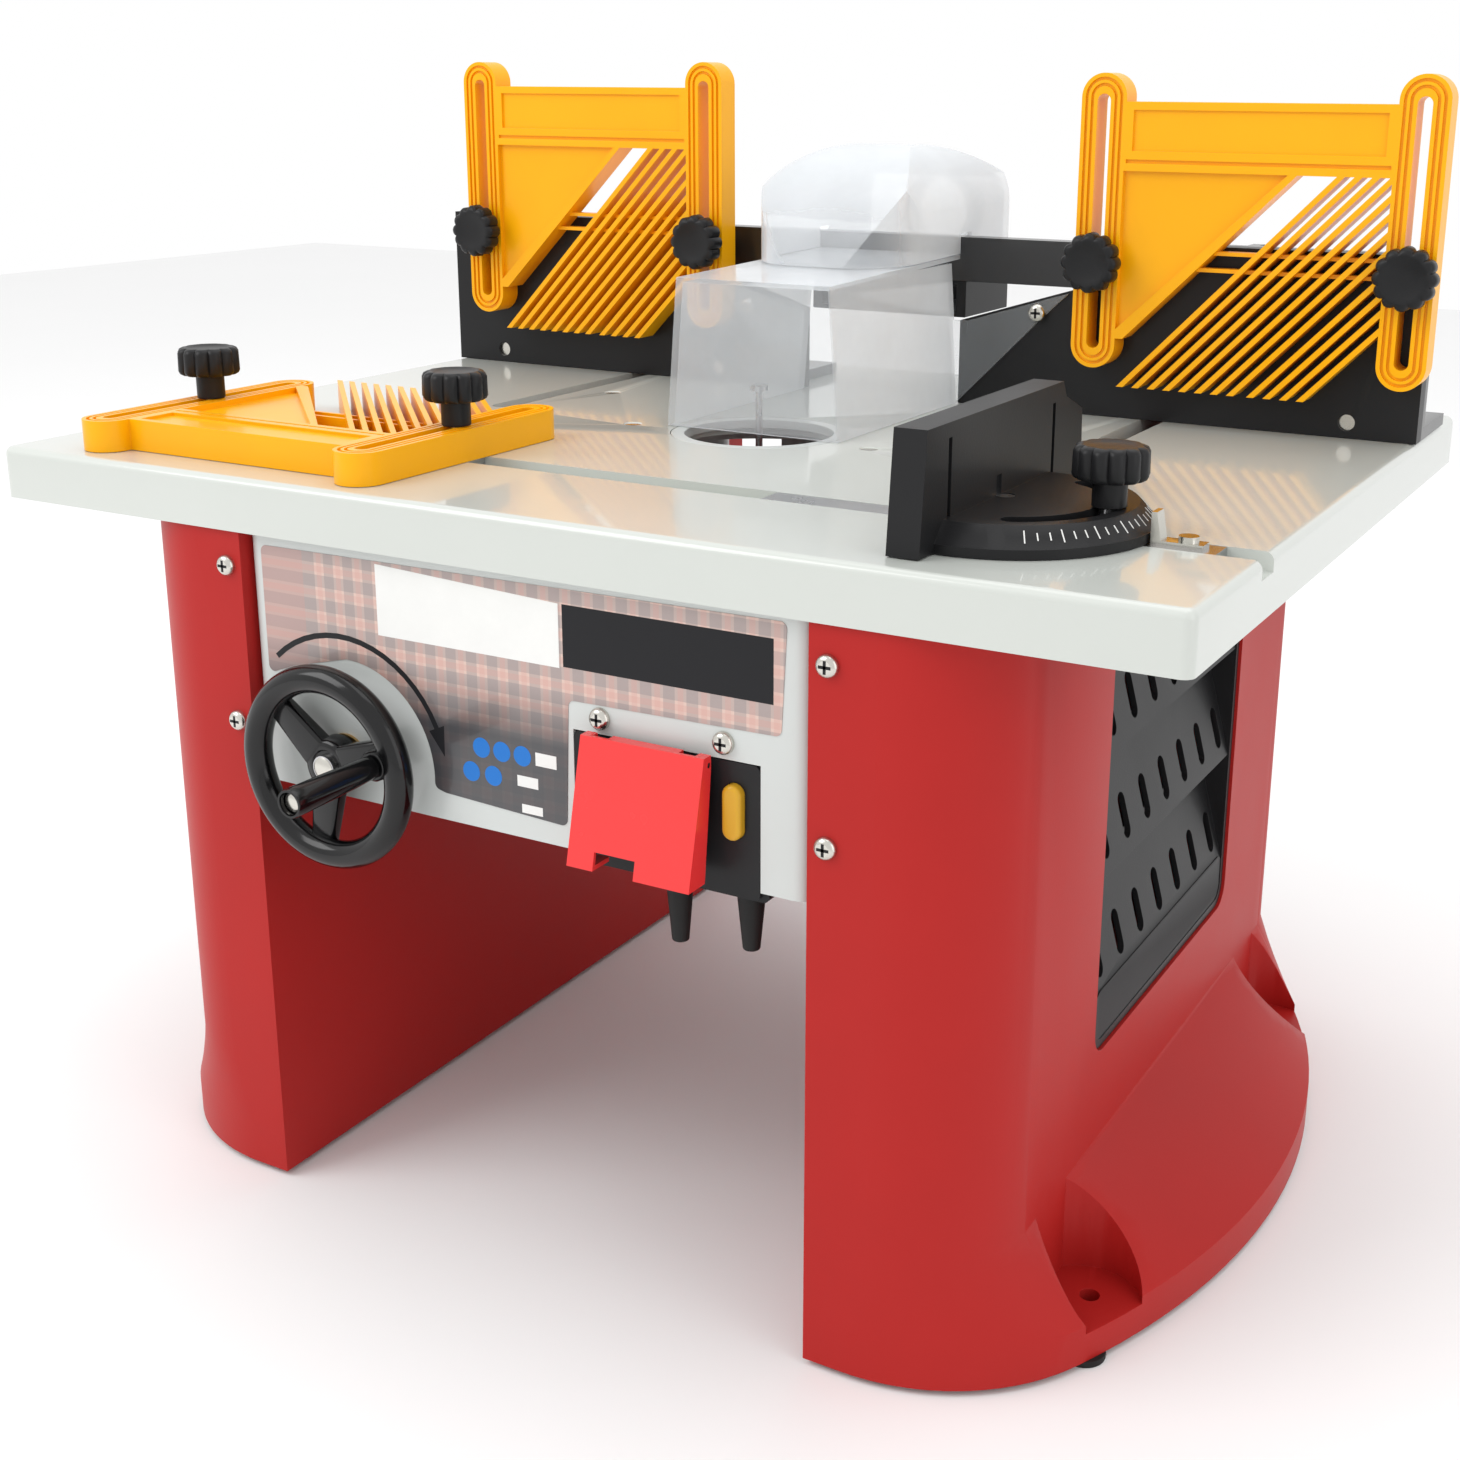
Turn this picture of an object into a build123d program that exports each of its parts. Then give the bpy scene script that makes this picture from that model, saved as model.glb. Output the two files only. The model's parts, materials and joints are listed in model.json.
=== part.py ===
"""Bench-top router table: sheet and cast table on two moulded legs, with a lifting
router motor, a split fence with three featherboards, a guard with its dust hood,
a sliding mitre gauge and a no-volt switch.

Frame: X to the operator's right, Y to the rear, Z up. The origin is on the floor,
under the centre of the table. Millimetres throughout.
"""
from build123d import *
from math import cos, sin, radians, sqrt
import os

os.makedirs("parts", exist_ok=True)

# ---- table -------------------------------------------------------------------
TABLE_W = 597.0
TABLE_D = 457.0
TABLE_T = 25.0
FOOT_H = 3.0                      # rubber pads lift the legs by this much
TABLE_Z = 358.0                   # working surface
UNDER_Z = TABLE_Z - TABLE_T       # underside, where the legs meet it
PLATE_T = 8.0                     # cast plate between the ribs
MITRE_Y = -138.3                  # centre line of the mitre slot
MITRE_W = 16.0
MITRE_DEPTH = 8.0
FENCE_SLOT_X = 162.0
FENCE_SLOT_W = 13.0
FENCE_SLOT_Y0 = -14.0
FENCE_SLOT_Y1 = 205.0
SPINDLE_Y = -8.0                  # spindle axis is at x = 0
OPENING_R = 41.0
RING_SEAT_R = 45.4
RING_R = 45.0
RING_BORE_R = 38.0
RING_T = 5.0
PLATE_SCREWS = ((-136, 60), (-69, -20), (69, -20), (136, 60))

# ---- legs --------------------------------------------------------------------
LEG_IN = 147.4                    # inner wall, from the centre line
LEG_OUT = 227.0                   # outer side face
LEG_Y = 226.0                     # front and rear faces
LEG_CORNER_R = 50.0
LEG_WALL = 3.0
RIM_Z = 21.0                      # top of the upright rim of the flared foot
FLARE_Z = 62.0                    # where the flare meets the side face
FLARE_ARC_R = 385.7
FLARE_ARC_X = -92.7
FLARE_CORNER_R = 96.0
EAR_X = 245.5                     # bench bolt hole
EAR_Y = 141.9
EAR_Z = 17.0
EAR_R = 25.0
BENCH_HOLE_R = 4.5
BENCH_BOSS_R = 8.5                # boss under each ear, down to the foot of the leg
PAD_X = 250.0
PAD_Y = 160.0
VENT_Y = 99.0                     # half length of the vent opening
VENT_Z0 = 107.0
VENT_Z1 = 302.0

# ---- front panel, switch and handwheel -----------------------------------------
PANEL_Y = -222.0
PANEL_Z0 = 213.0
SHEET = 2.0
BEND_R = 8.0
CUT_X0 = 33.0                     # switch cut-out
CUT_X1 = 124.0
CUT_Z = 268.0
WHEEL_X = -93.5
WHEEL_Z = 232.0
SHAFT_R = 6.0
RIM_Y = -236.0
RIM_R = 41.5
RIM_TUBE_R = 6.5
CRANK_R = 33.0
CRANK_DEG = 14.0
GRIP_END_Y = -294.0
PIVOT_Y = -227.0                  # switch flap pivot
PIVOT_Z = 266.0
PIN_R = 1.2
FLAP_Z0 = 216.0
SWITCH_SCREWS = ((47, 275), (107, 275))
ROUND_BUTTONS = ((58, 242), (88, 242))
RESET_BUTTON = (112, 246.5)
FLAP_X0 = 43.0
FLAP_X1 = 103.0

# ---- lift and motor ------------------------------------------------------------
COLUMN_X = 70.0
COLUMN_Y = 58.0
COLUMN_R = 6.0
SCREW_R = 5.5
SCREW_PITCH = 3.0
MOTOR_R = 48.0
CLAMP_R = 56.0
CARRIAGE_Z0 = 255.0
CARRIAGE_Z1 = 298.0

# ---- fence ---------------------------------------------------------------------
FENCE_Y = 127.0                   # working face
FACING_T = 11.0
FENCE_TOP = 450.0
FENCE_END = 298.5
GAP = 0.2                         # sliding clearance over the table
BOLT_Z = 441.0
BOLT_R = 3.0
BAR_Z0 = 424.0                    # bridge between the two halves
BAR_Z1 = 448.0
CLAMP_Y = 182.0

# ---- featherboards and knobs ----------------------------------------------------
BOARD_T = 15.0
EAR_PITCH = 158.0
EAR_W = 24.0
EAR_LEN = 149.0
BOARD_SLOT_W = 7.0
FINGER_DEG = 46.15
FINGER_W = 2.6
KNOB_R = 15.5
KNOB_FIT = 0.06

TABLE_BOARD_X = -248.0            # left ear of the board on the table
TABLE_BOARD_Y = -218.0

# ---- guard and hood --------------------------------------------------------------
GUARD_Y = -16.0
GUARD_X = 44.0
GUARD_FOOT = 50.0
GUARD_Z0 = 358.4
GUARD_Z1 = 434.5
GUARD_T = 2.5
WING_TIPS = {-1: ((-88, 397.9), (-91.5, 403), (-91.5, 415.3)), 1: ((97, 407), (113, 422))}
WING_SCREWS = ((-84, 404), (96, 411))
HOOD_X = 45.0                     # half width of the hood
HOOD_WALL = 2.4
HOOD_BACK_Y = 203.0
HOOD_FRONT_Y = 47.0
HOOD_TOP_Z = 497.0
HOOD_SHOULDER_R = 34.0            # rounding of the crown, seen from the front
HOOD_NOSE_R = 36.0                # rounding of the front, seen from above
PORT_Z = 457.5
PORT_R = 19.5
PORT_END_Y = 222.0

# ---- mitre gauge -----------------------------------------------------------------
GAUGE_X = 190.0                   # swivel pivot
GAUGE_R = 62.0
GAUGE_PLATE_Z = TABLE_Z + 12.0
STUD_X = 234.0


def keep(part, label):
    """Label a finished piece and write it as its own STEP file."""
    part.label = label
    export_step(part, f"parts/{label}.step")


def facing(y):
    """Plane that looks towards the operator, at depth y."""
    return Plane.XZ.offset(-y)


def sideways(x):
    """Plane that looks to the right, at x."""
    return Plane.YZ.offset(x)


# ================================ table =========================================
with BuildPart() as table_top:
    with BuildSketch(Plane.XY.offset(UNDER_Z)):
        RectangleRounded(TABLE_W, TABLE_D, 5)
    extrude(amount=TABLE_T)
    fillet(table_top.edges().group_by(Axis.Z)[-1], 4)
    # ribbed underside: pockets in front of and behind the solid band of the mitre slot
    for x0, x1 in ((-142, 142), (152, 220), (-220, -152), (234, 288), (-288, -234)):
        for y0, y1 in ((-205, MITRE_Y - 14), (MITRE_Y + 14, 212)):
            with BuildSketch(Plane.XY.offset(UNDER_Z)):
                with Locations(((x0 + x1) / 2, (y0 + y1) / 2)):
                    RectangleRounded(x1 - x0, y1 - y0, 4)
            extrude(amount=TABLE_T - PLATE_T, mode=Mode.SUBTRACT)
    with BuildSketch(Plane.XY.offset(TABLE_Z - MITRE_DEPTH)):
        with Locations((0, MITRE_Y)):
            Rectangle(TABLE_W + 2, MITRE_W)
    extrude(amount=MITRE_DEPTH, mode=Mode.SUBTRACT)
    for side in (-1, 1):
        with BuildSketch(Plane.XY.offset(UNDER_Z)):
            with Locations((side * FENCE_SLOT_X, (FENCE_SLOT_Y0 + FENCE_SLOT_Y1) / 2)):
                SlotOverall(FENCE_SLOT_Y1 - FENCE_SLOT_Y0, FENCE_SLOT_W, rotation=90)
        extrude(amount=TABLE_T, mode=Mode.SUBTRACT)
    with BuildSketch(Plane.XY.offset(UNDER_Z)):
        with Locations((0, SPINDLE_Y)):
            Circle(OPENING_R)
    extrude(amount=TABLE_T, mode=Mode.SUBTRACT)
    with BuildSketch(Plane.XY.offset(TABLE_Z - RING_T)):
        with Locations((0, SPINDLE_Y)):
            Circle(RING_SEAT_R)
    extrude(amount=RING_T, mode=Mode.SUBTRACT)
    with Locations(*[(x, y, TABLE_Z) for x, y in PLATE_SCREWS]):
        CounterSinkHole(radius=2.6, counter_sink_radius=5.0, depth=PLATE_T)
keep(table_top.part, "table_top")

with BuildPart() as insert_ring:
    with BuildSketch(Plane.XY.offset(TABLE_Z - RING_T)):
        with Locations((0, SPINDLE_Y)):
            Circle(RING_R)
            Circle(RING_BORE_R, mode=Mode.SUBTRACT)
    extrude(amount=RING_T)
keep(insert_ring.part, "insert_ring")


# ================================ legs ==========================================
def leg_section(inset, z, flared):
    """Sketch of the right leg's outline at height z, shrunk by inset."""
    inner = LEG_IN + inset
    end = LEG_Y - inset
    corner = (FLARE_CORNER_R if flared else LEG_CORNER_R) - inset
    with BuildSketch(Plane.XY.offset(z)) as outline:
        with BuildLine():
            if flared:
                arc_r = FLARE_ARC_R - inset
                # the corner arc ends where its direction matches the big side arc
                join_y = -end + corner * (1 - cos(radians(64)))
                join_x = FLARE_ARC_X + sqrt(arc_r ** 2 - join_y ** 2)
                start_x = join_x - corner * sin(radians(64))
                mid_a = radians(32)
                mid = (start_x + corner * sin(mid_a), -end + corner * (1 - cos(mid_a)))
                Line((inner, end), (inner, -end))
                Line((inner, -end), (start_x, -end))
                ThreePointArc((start_x, -end), mid, (join_x, join_y))
                ThreePointArc((join_x, join_y), (FLARE_ARC_X + arc_r, 0), (join_x, -join_y))
                ThreePointArc((join_x, -join_y), (mid[0], -mid[1]), (start_x, end))
                Line((start_x, end), (inner, end))
            else:
                side = LEG_OUT - inset
                start_x = side - corner
                join_y = -end + corner
                mid = (start_x + corner * sin(radians(45)), -end + corner * (1 - cos(radians(45))))
                Line((inner, end), (inner, -end))
                Line((inner, -end), (start_x, -end))
                ThreePointArc((start_x, -end), mid, (side, join_y))
                Line((side, join_y), (side, -join_y))
                ThreePointArc((side, -join_y), (mid[0], -mid[1]), (start_x, end))
                Line((start_x, end), (inner, end))
        make_face()
    return outline.sketch


with BuildPart() as body_core:          # upright body alone, used to trim the ear recesses
    extrude(leg_section(0, 0, False), amount=UNDER_Z)

with BuildPart() as inner_core:
    extrude(leg_section(LEG_WALL, 0, False), amount=UNDER_Z)

with BuildPart() as ear_recess:
    for end in (-1, 1):
        with BuildSketch(Plane.XY.offset(EAR_Z)):
            with Locations((EAR_X - 1, end * (EAR_Y + 4))):
                Circle(EAR_R)
        extrude(amount=60)
    add(body_core.part, mode=Mode.SUBTRACT)

with BuildPart() as ear_keepout:        # the same recess, one wall thickness larger
    for end in (-1, 1):
        with BuildSketch(Plane.XY.offset(EAR_Z - LEG_WALL)):
            with Locations((EAR_X - 1, end * (EAR_Y + 4))):
                Circle(EAR_R + LEG_WALL)
        extrude(amount=60)
    add(inner_core.part, mode=Mode.SUBTRACT)

with BuildPart() as leg_void:
    extrude(leg_section(LEG_WALL, 0, True), amount=RIM_Z - 2)
    loft(sections=[leg_section(LEG_WALL, RIM_Z - 2, True), leg_section(LEG_WALL, FLARE_Z - 3, False)],
         ruled=True)
    extrude(leg_section(LEG_WALL, FLARE_Z - 3, False), amount=UNDER_Z - 4 - FLARE_Z + 3)
    add(ear_keepout.part, mode=Mode.SUBTRACT)
    # solid bosses that carry the rubber pads, and bosses for the bench bolts
    for end in (-1, 1):
        with BuildSketch(Plane.XY):
            with Locations((PAD_X - 4, end * PAD_Y)):
                Circle(8)
            with Locations((EAR_X, end * EAR_Y)):
                Circle(BENCH_BOSS_R)
        extrude(amount=EAR_Z, mode=Mode.SUBTRACT)

with BuildPart() as right_leg:
    extrude(leg_section(0, FOOT_H, True), amount=RIM_Z - FOOT_H)
    loft(sections=[leg_section(0, RIM_Z, True), leg_section(0, FLARE_Z, False)], ruled=True)
    extrude(leg_section(0, FLARE_Z, False), amount=UNDER_Z - FLARE_Z)
    add(ear_recess.part, mode=Mode.SUBTRACT)
    add(leg_void.part, mode=Mode.SUBTRACT)
    # vent opening in the side wall
    with BuildSketch(sideways(LEG_OUT - 10)):
        with Locations((0, (VENT_Z0 + VENT_Z1) / 2)):
            RectangleRounded(2 * VENT_Y, VENT_Z1 - VENT_Z0, 12)
    extrude(amount=20, mode=Mode.SUBTRACT)
    for end in (-1, 1):
        with BuildSketch(Plane.XY):
            with Locations((EAR_X, end * EAR_Y)):
                Circle(BENCH_HOLE_R)
        extrude(amount=40, mode=Mode.SUBTRACT)
        with BuildSketch(Plane.XY):
            with Locations((PAD_X - 4, end * PAD_Y)):
                Circle(2.5)
        extrude(amount=12, mode=Mode.SUBTRACT)
        with BuildSketch(facing(end * LEG_Y + 10)):
            with Locations((156, 316), (156, 241)):
                Circle(2.6)
        extrude(amount=20, mode=Mode.SUBTRACT)
keep(right_leg.part, "right_leg")

with BuildPart() as left_leg:
    add(mirror(right_leg.part, about=Plane.YZ, mode=Mode.PRIVATE))
keep(left_leg.part, "left_leg")

with BuildPart() as right_vent_grille:
    vent_mid = (VENT_Z0 + VENT_Z1) / 2
    with BuildSketch(sideways(LEG_OUT - LEG_WALL - 16)):
        with Locations((0, vent_mid)):
            RectangleRounded(2 * VENT_Y - 1, VENT_Z1 - VENT_Z0 - 1, 11.5)
            RectangleRounded(2 * VENT_Y - 9, VENT_Z1 - VENT_Z0 - 9, 8, mode=Mode.SUBTRACT)
    extrude(amount=LEG_WALL + 14.5)
    # retaining flange behind the wall
    with BuildSketch(sideways(LEG_OUT - LEG_WALL - 2.5)):
        with Locations((0, vent_mid)):
            RectangleRounded(2 * VENT_Y + 8, VENT_Z1 - VENT_Z0 + 8, 14)
            RectangleRounded(2 * VENT_Y - 9, VENT_Z1 - VENT_Z0 - 9, 8, mode=Mode.SUBTRACT)
    extrude(amount=2.3)
    # flat apron below the louvres
    with BuildSketch(sideways(LEG_OUT - 5)):
        with Locations((0, VENT_Z0 + 15)):
            RectangleRounded(2 * VENT_Y - 6, 28, 8)
    extrude(amount=3)
    # three leaning louvre plates with upright slots
    for low in (134.0, 192.0, 250.0):
        high = min(low + 56.0, VENT_Z1 - 2)
        with BuildSketch(Plane.XZ.offset(-(VENT_Y - 3))):
            with BuildLine():
                Polyline((LEG_OUT - 2.2, low), (LEG_OUT - 2.2 - 15 * (high - low) / 56, high),
                         (LEG_OUT - 5.2 - 15 * (high - low) / 56, high), (LEG_OUT - 5.2, low),
                         close=True)
            make_face()
        extrude(amount=2 * (VENT_Y - 3))
    with BuildSketch(sideways(LEG_OUT - 40)):
        for low in (134.0, 192.0, 250.0):
            slots = [(-84 + 28 * step, low + 17) for step in range(7)]
            with Locations(*slots):
                SlotOverall(21, 8.5, rotation=90)
    extrude(amount=50, mode=Mode.SUBTRACT)
keep(right_vent_grille.part, "right_vent_grille")

with BuildPart() as left_vent_grille:
    add(mirror(right_vent_grille.part, about=Plane.YZ, mode=Mode.PRIVATE))
keep(left_vent_grille.part, "left_vent_grille")

with BuildPart() as rubber_feet:
    for sx in (-1, 1):
        for sy in (-1, 1):
            with BuildSketch(Plane.XY):
                with Locations((sx * PAD_X, sy * PAD_Y)):
                    Circle(10)
            extrude(amount=FOOT_H)
            with BuildSketch(Plane.XY.offset(FOOT_H)):
                with Locations((sx * (PAD_X - 4), sy * PAD_Y)):
                    Circle(2.4)
            extrude(amount=8)
keep(rubber_feet.part, "rubber_feet")

# ============================ front panel and switch ==============================
with BuildPart() as front_panel:
    width = 2 * LEG_IN
    with BuildSketch(Plane.XY.offset(PANEL_Z0)):
        with Locations((0, PANEL_Y + 20)):
            Rectangle(width, 40)
    extrude(amount=UNDER_Z - PANEL_Z0)
    fillet(front_panel.edges().filter_by(Axis.Z).group_by(Axis.Y)[0], BEND_R)
    with BuildSketch(Plane.XY.offset(PANEL_Z0)) as inside:
        with Locations((0, PANEL_Y + SHEET + 20)):
            Rectangle(width - 2 * SHEET, 40)
        fillet(inside.vertices().group_by(Axis.Y)[0], BEND_R - SHEET)
    extrude(amount=UNDER_Z - PANEL_Z0 - SHEET, mode=Mode.SUBTRACT)
    with BuildSketch(facing(PANEL_Y + 6)):
        with Locations(((CUT_X0 + CUT_X1) / 2, (CUT_Z + PANEL_Z0 - 10) / 2)):
            Rectangle(CUT_X1 - CUT_X0, CUT_Z - PANEL_Z0 + 10)
        with Locations((WHEEL_X, WHEEL_Z)):
            Circle(9)
        with Locations(*SWITCH_SCREWS):
            Circle(2.1)
    extrude(amount=12, mode=Mode.SUBTRACT)
keep(front_panel.part, "front_panel")

with BuildPart() as front_label:
    with BuildSketch(facing(PANEL_Y)) as outline:
        with BuildLine():
            Polyline((-138, 327), (136, 329.5), (133.5, 282), (31, 280.5), (28.7, 223), (-37, 226),
                     (-43, 227.5))
            ThreePointArc((-43, 227.5), (-55.4, 264.3), (-91, 279.7))
            Polyline((-91, 279.7), (-122, 272), (-138, 266), (-138, 327))
        make_face()
        fillet(outline.vertices().group_by(Axis.Z)[-1], 3)
    extrude(amount=0.3)
keep(front_label.part, "front_label")


def pan_screw(x, y, z, out, shank):
    """Pan-head screw whose head stands proud of a face at y; out is -1 to the front."""
    with BuildPart() as screw:
        with BuildSketch(Plane.XY.offset(z)):
            with BuildLine():
                Line((x, y + out * 3.2), (x + 2.6, y + out * 3.2))
                ThreePointArc((x + 2.6, y + out * 3.2), (x + 4.3, y + out * 2.3), (x + 4.9, y))
                Polyline((x + 4.9, y), (x + 2.1, y), (x + 2.1, y - out * shank),
                         (x, y - out * shank), (x, y + out * 3.2))
            make_face()
        revolve(axis=Axis((x, y, z), (0, 1, 0)))
    return screw.part


screws = []
for x in (-156, 156):
    for z in (316, 241):
        screws.append(pan_screw(x, -LEG_Y, z, -1, 12))
        screws.append(pan_screw(x, LEG_Y, z, 1, 12))
for x, z in SWITCH_SCREWS:
    screws.append(pan_screw(x, PANEL_Y, z, -1, 8))

with BuildPart() as frame_screws:
    add(screws)
    # flush screws that hold the lift frame under the table
    for x, y in PLATE_SCREWS:
        with BuildSketch(Plane.XZ.offset(-y)):
            with BuildLine():
                Polyline((x, TABLE_Z - 0.5), (x + 4.4, TABLE_Z - 0.5), (x + 2.5, TABLE_Z - 2.7),
                         (x + 2.5, TABLE_Z - 13), (x, TABLE_Z - 13), close=True)
            make_face()
        revolve(axis=Axis((x, y, 0), (0, 0, 1)))
keep(frame_screws.part, "frame_screws")

with BuildPart() as switch_body:
    front = PANEL_Y + SHEET
    middle = (CUT_X0 + CUT_X1) / 2
    with BuildSketch(facing(front + 42)):
        with Locations((middle, 239)):
            RectangleRounded(97, 62, 3)
    extrude(amount=42)
    # ears behind the panel for the two screws
    with BuildSketch(facing(front + 6)):
        with Locations(*SWITCH_SCREWS):
            RectangleRounded(14, 14, 3)
    extrude(amount=6)
    # bezel that fills the cut-out, with the flap's pivot lugs and pin
    with BuildSketch(facing(front)):
        with Locations((middle, 238.3)):
            RectangleRounded(CUT_X1 - CUT_X0 - 0.4, 58.6, 3)
    extrude(amount=SHEET)
    with BuildSketch(facing(front)):
        with Locations((FLAP_X0 + 9, PIVOT_Z - 1.5), (FLAP_X1 - 9, PIVOT_Z - 1.5)):
            Rectangle(6, 5)
    extrude(amount=front - PIVOT_Y + 1.2)
    with BuildSketch(sideways(FLAP_X0 + 0.4)):
        with Locations((PIVOT_Y, PIVOT_Z)):
            Circle(PIN_R)
    extrude(amount=FLAP_X1 - FLAP_X0 - 0.8)
    # wells for the buttons
    with BuildSketch(facing(front + 14)):
        with Locations(*ROUND_BUTTONS):
            Circle(9.6)
        with Locations(RESET_BUTTON):
            SlotOverall(24.6, 9.6, rotation=90)
    extrude(amount=14 + SHEET, mode=Mode.SUBTRACT)
    with BuildSketch(facing(front + 6)):
        with Locations(*SWITCH_SCREWS):
            Circle(2.1)
    extrude(amount=6, mode=Mode.SUBTRACT)
keep(switch_body.part, "switch_body")

with BuildPart() as switch_flap:
    # wedge outline seen from the side, then hollowed from behind
    with BuildSketch(sideways(FLAP_X0)):
        with BuildLine():
            Polyline((-225.5, PIVOT_Z + 4), (-231, PIVOT_Z + 4), (-243.5, FLAP_Z0), (-231, FLAP_Z0),
                     (-225.5, PIVOT_Z - 2), close=True)
        make_face()
    extrude(amount=FLAP_X1 - FLAP_X0)
    with BuildSketch(sideways(FLAP_X0 + 2.2)):
        with BuildLine():
            Polyline((PANEL_Y, PIVOT_Z + 1.8), (-229.4, PIVOT_Z + 1.8), (-241.3, FLAP_Z0 + 2),
                     (PANEL_Y, FLAP_Z0 + 2), close=True)
        make_face()
    extrude(amount=FLAP_X1 - FLAP_X0 - 4.4, mode=Mode.SUBTRACT)
    with BuildSketch(sideways(FLAP_X0)):
        with Locations((PIVOT_Y, PIVOT_Z)):
            Circle(PIN_R + 0.06)
    extrude(amount=FLAP_X1 - FLAP_X0, mode=Mode.SUBTRACT)
    # notches in the top wall let the lugs through as the flap lifts
    for x in (FLAP_X0 + 9, FLAP_X1 - 9):
        with BuildSketch(facing(PANEL_Y)):
            with Locations((x, PIVOT_Z)):
                Rectangle(8, 12)
        extrude(amount=7.4, mode=Mode.SUBTRACT)
    # finger notch in the lower edge
    with BuildSketch(facing(PANEL_Y)):
        with Locations((66, FLAP_Z0 + 2)):
            Rectangle(20, 12)
    extrude(amount=50, mode=Mode.SUBTRACT)
keep(switch_flap.part, "switch_flap")


def round_button(x, z, r, front, back):
    with BuildPart() as button:
        with BuildSketch(facing(back)):
            with Locations((x, z)):
                Circle(r)
        extrude(amount=back - front)
        fillet(button.edges().group_by(Axis.Y)[0], 1.2)
    return button.part


for label, (x, z) in zip(("start_button", "stop_button"), ROUND_BUTTONS):
    keep(round_button(x, z, 9.2, -226.5, -211), label)

with BuildPart() as reset_button:
    with BuildSketch(facing(-212)):
        with Locations(RESET_BUTTON):
            SlotOverall(24, 9, rotation=90)
    extrude(amount=14)
    fillet(reset_button.edges().group_by(Axis.Y)[0], 2)
keep(reset_button.part, "reset_button")

with BuildPart() as cord_boots:
    for x, bottom in ((79, 178), (114, 182)):
        with BuildSketch(Plane.XY.offset(bottom)):
            with Locations((x, -212)):
                Circle(3.7)
        with BuildSketch(Plane.XY.offset(208)):
            with Locations((x, -212)):
                Circle(6.2)
        loft(ruled=True)
        with BuildSketch(Plane.XY.offset(bottom)):
            with Locations((x, -212)):
                Circle(2)
        extrude(amount=208 - bottom, mode=Mode.SUBTRACT)
keep(cord_boots.part, "cord_boots")

# ================================ lift ===========================================
with BuildPart() as lift_frame:
    top = TABLE_Z - PLATE_T
    with BuildSketch(Plane.XY.offset(top - 6)):
        with Locations((0, 20)):
            RectangleRounded(282, 156, 6)
        with Locations((0, SPINDLE_Y)):
            Circle(58, mode=Mode.SUBTRACT)
    extrude(amount=6)
    # column sockets and the lower tie between the columns
    with BuildSketch(Plane.XY.offset(top - 22)):
        with Locations((-COLUMN_X, COLUMN_Y), (COLUMN_X, COLUMN_Y)):
            Circle(11)
    extrude(amount=16)
    with BuildSketch(Plane.XY.offset(196)):
        with Locations((0, COLUMN_Y)):
            SlotOverall(2 * COLUMN_X + 24, 22)
    extrude(amount=10)
    with BuildSketch(facing(COLUMN_Y + 19)):
        with Locations((0, 270)):
            Rectangle(60, 148)
    extrude(amount=8)
    with BuildSketch(Plane.XY.offset(196)):
        with Locations((0, COLUMN_Y + 14)):
            Rectangle(60, 10)
    extrude(amount=10)
    # gear bracket: back plate, shelf for the screw, web for the wheel shaft
    with BuildSketch(Plane.XY.offset(203)):
        with Locations((WHEEL_X - 4, 17)):
            Rectangle(56, 6)
    extrude(amount=top - 6 - 203)
    with BuildSketch(Plane.XY.offset(203)):
        with Locations((WHEEL_X - 4, -11)):
            Rectangle(56, 50)
    extrude(amount=6)
    with BuildSketch(facing(-30)):
        with Locations((WHEEL_X - 4, 227)):
            Rectangle(56, 48)
    extrude(amount=6)
    for side in (-1, 1):
        with Locations((side * COLUMN_X, COLUMN_Y, top)):
            Hole(COLUMN_R, depth=top - 190)
    with BuildSketch(Plane.XY.offset(200)):
        with Locations((WHEEL_X, SPINDLE_Y)):
            Circle(4.06)
    extrude(amount=20, mode=Mode.SUBTRACT)
    with BuildSketch(Plane.XY.offset(top - 6)):
        with Locations((WHEEL_X, SPINDLE_Y)):
            Circle(4.06)
    extrude(amount=6, mode=Mode.SUBTRACT)
    with BuildSketch(facing(-28)):
        with Locations((WHEEL_X, WHEEL_Z)):
            Circle(9)
    extrude(amount=10, mode=Mode.SUBTRACT)
    with Locations(*[(x, y, top) for x, y in PLATE_SCREWS]):
        Hole(2.5, depth=6)
keep(lift_frame.part, "lift_frame")

with BuildPart() as guide_columns:
    with BuildSketch(Plane.XY.offset(196)):
        with Locations((-COLUMN_X, COLUMN_Y), (COLUMN_X, COLUMN_Y)):
            Circle(COLUMN_R)
    extrude(amount=TABLE_Z - PLATE_T - 1 - 196)
keep(guide_columns.part, "guide_columns")

with BuildPart() as shaft_bushes:
    for y0, y1, flange_y in ((PANEL_Y - 1.5, PANEL_Y + 8, PANEL_Y - 1.5), (-37.5, -30, -37.5)):
        with BuildSketch(facing(y1)):
            with Locations((WHEEL_X, WHEEL_Z)):
                Circle(9)
                Circle(SHAFT_R + 0.05, mode=Mode.SUBTRACT)
        extrude(amount=y1 - y0)
        with BuildSketch(facing(flange_y + 1.5)):
            with Locations((WHEEL_X, WHEEL_Z)):
                Circle(12)
                Circle(SHAFT_R + 0.05, mode=Mode.SUBTRACT)
        extrude(amount=1.5)
keep(shaft_bushes.part, "shaft_bushes")

with BuildPart() as wheel_shaft:
    with BuildSketch(facing(-16)):
        with Locations((WHEEL_X, WHEEL_Z)):
            Circle(SHAFT_R)
    extrude(amount=238.5 - 16)
keep(wheel_shaft.part, "wheel_shaft")

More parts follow.
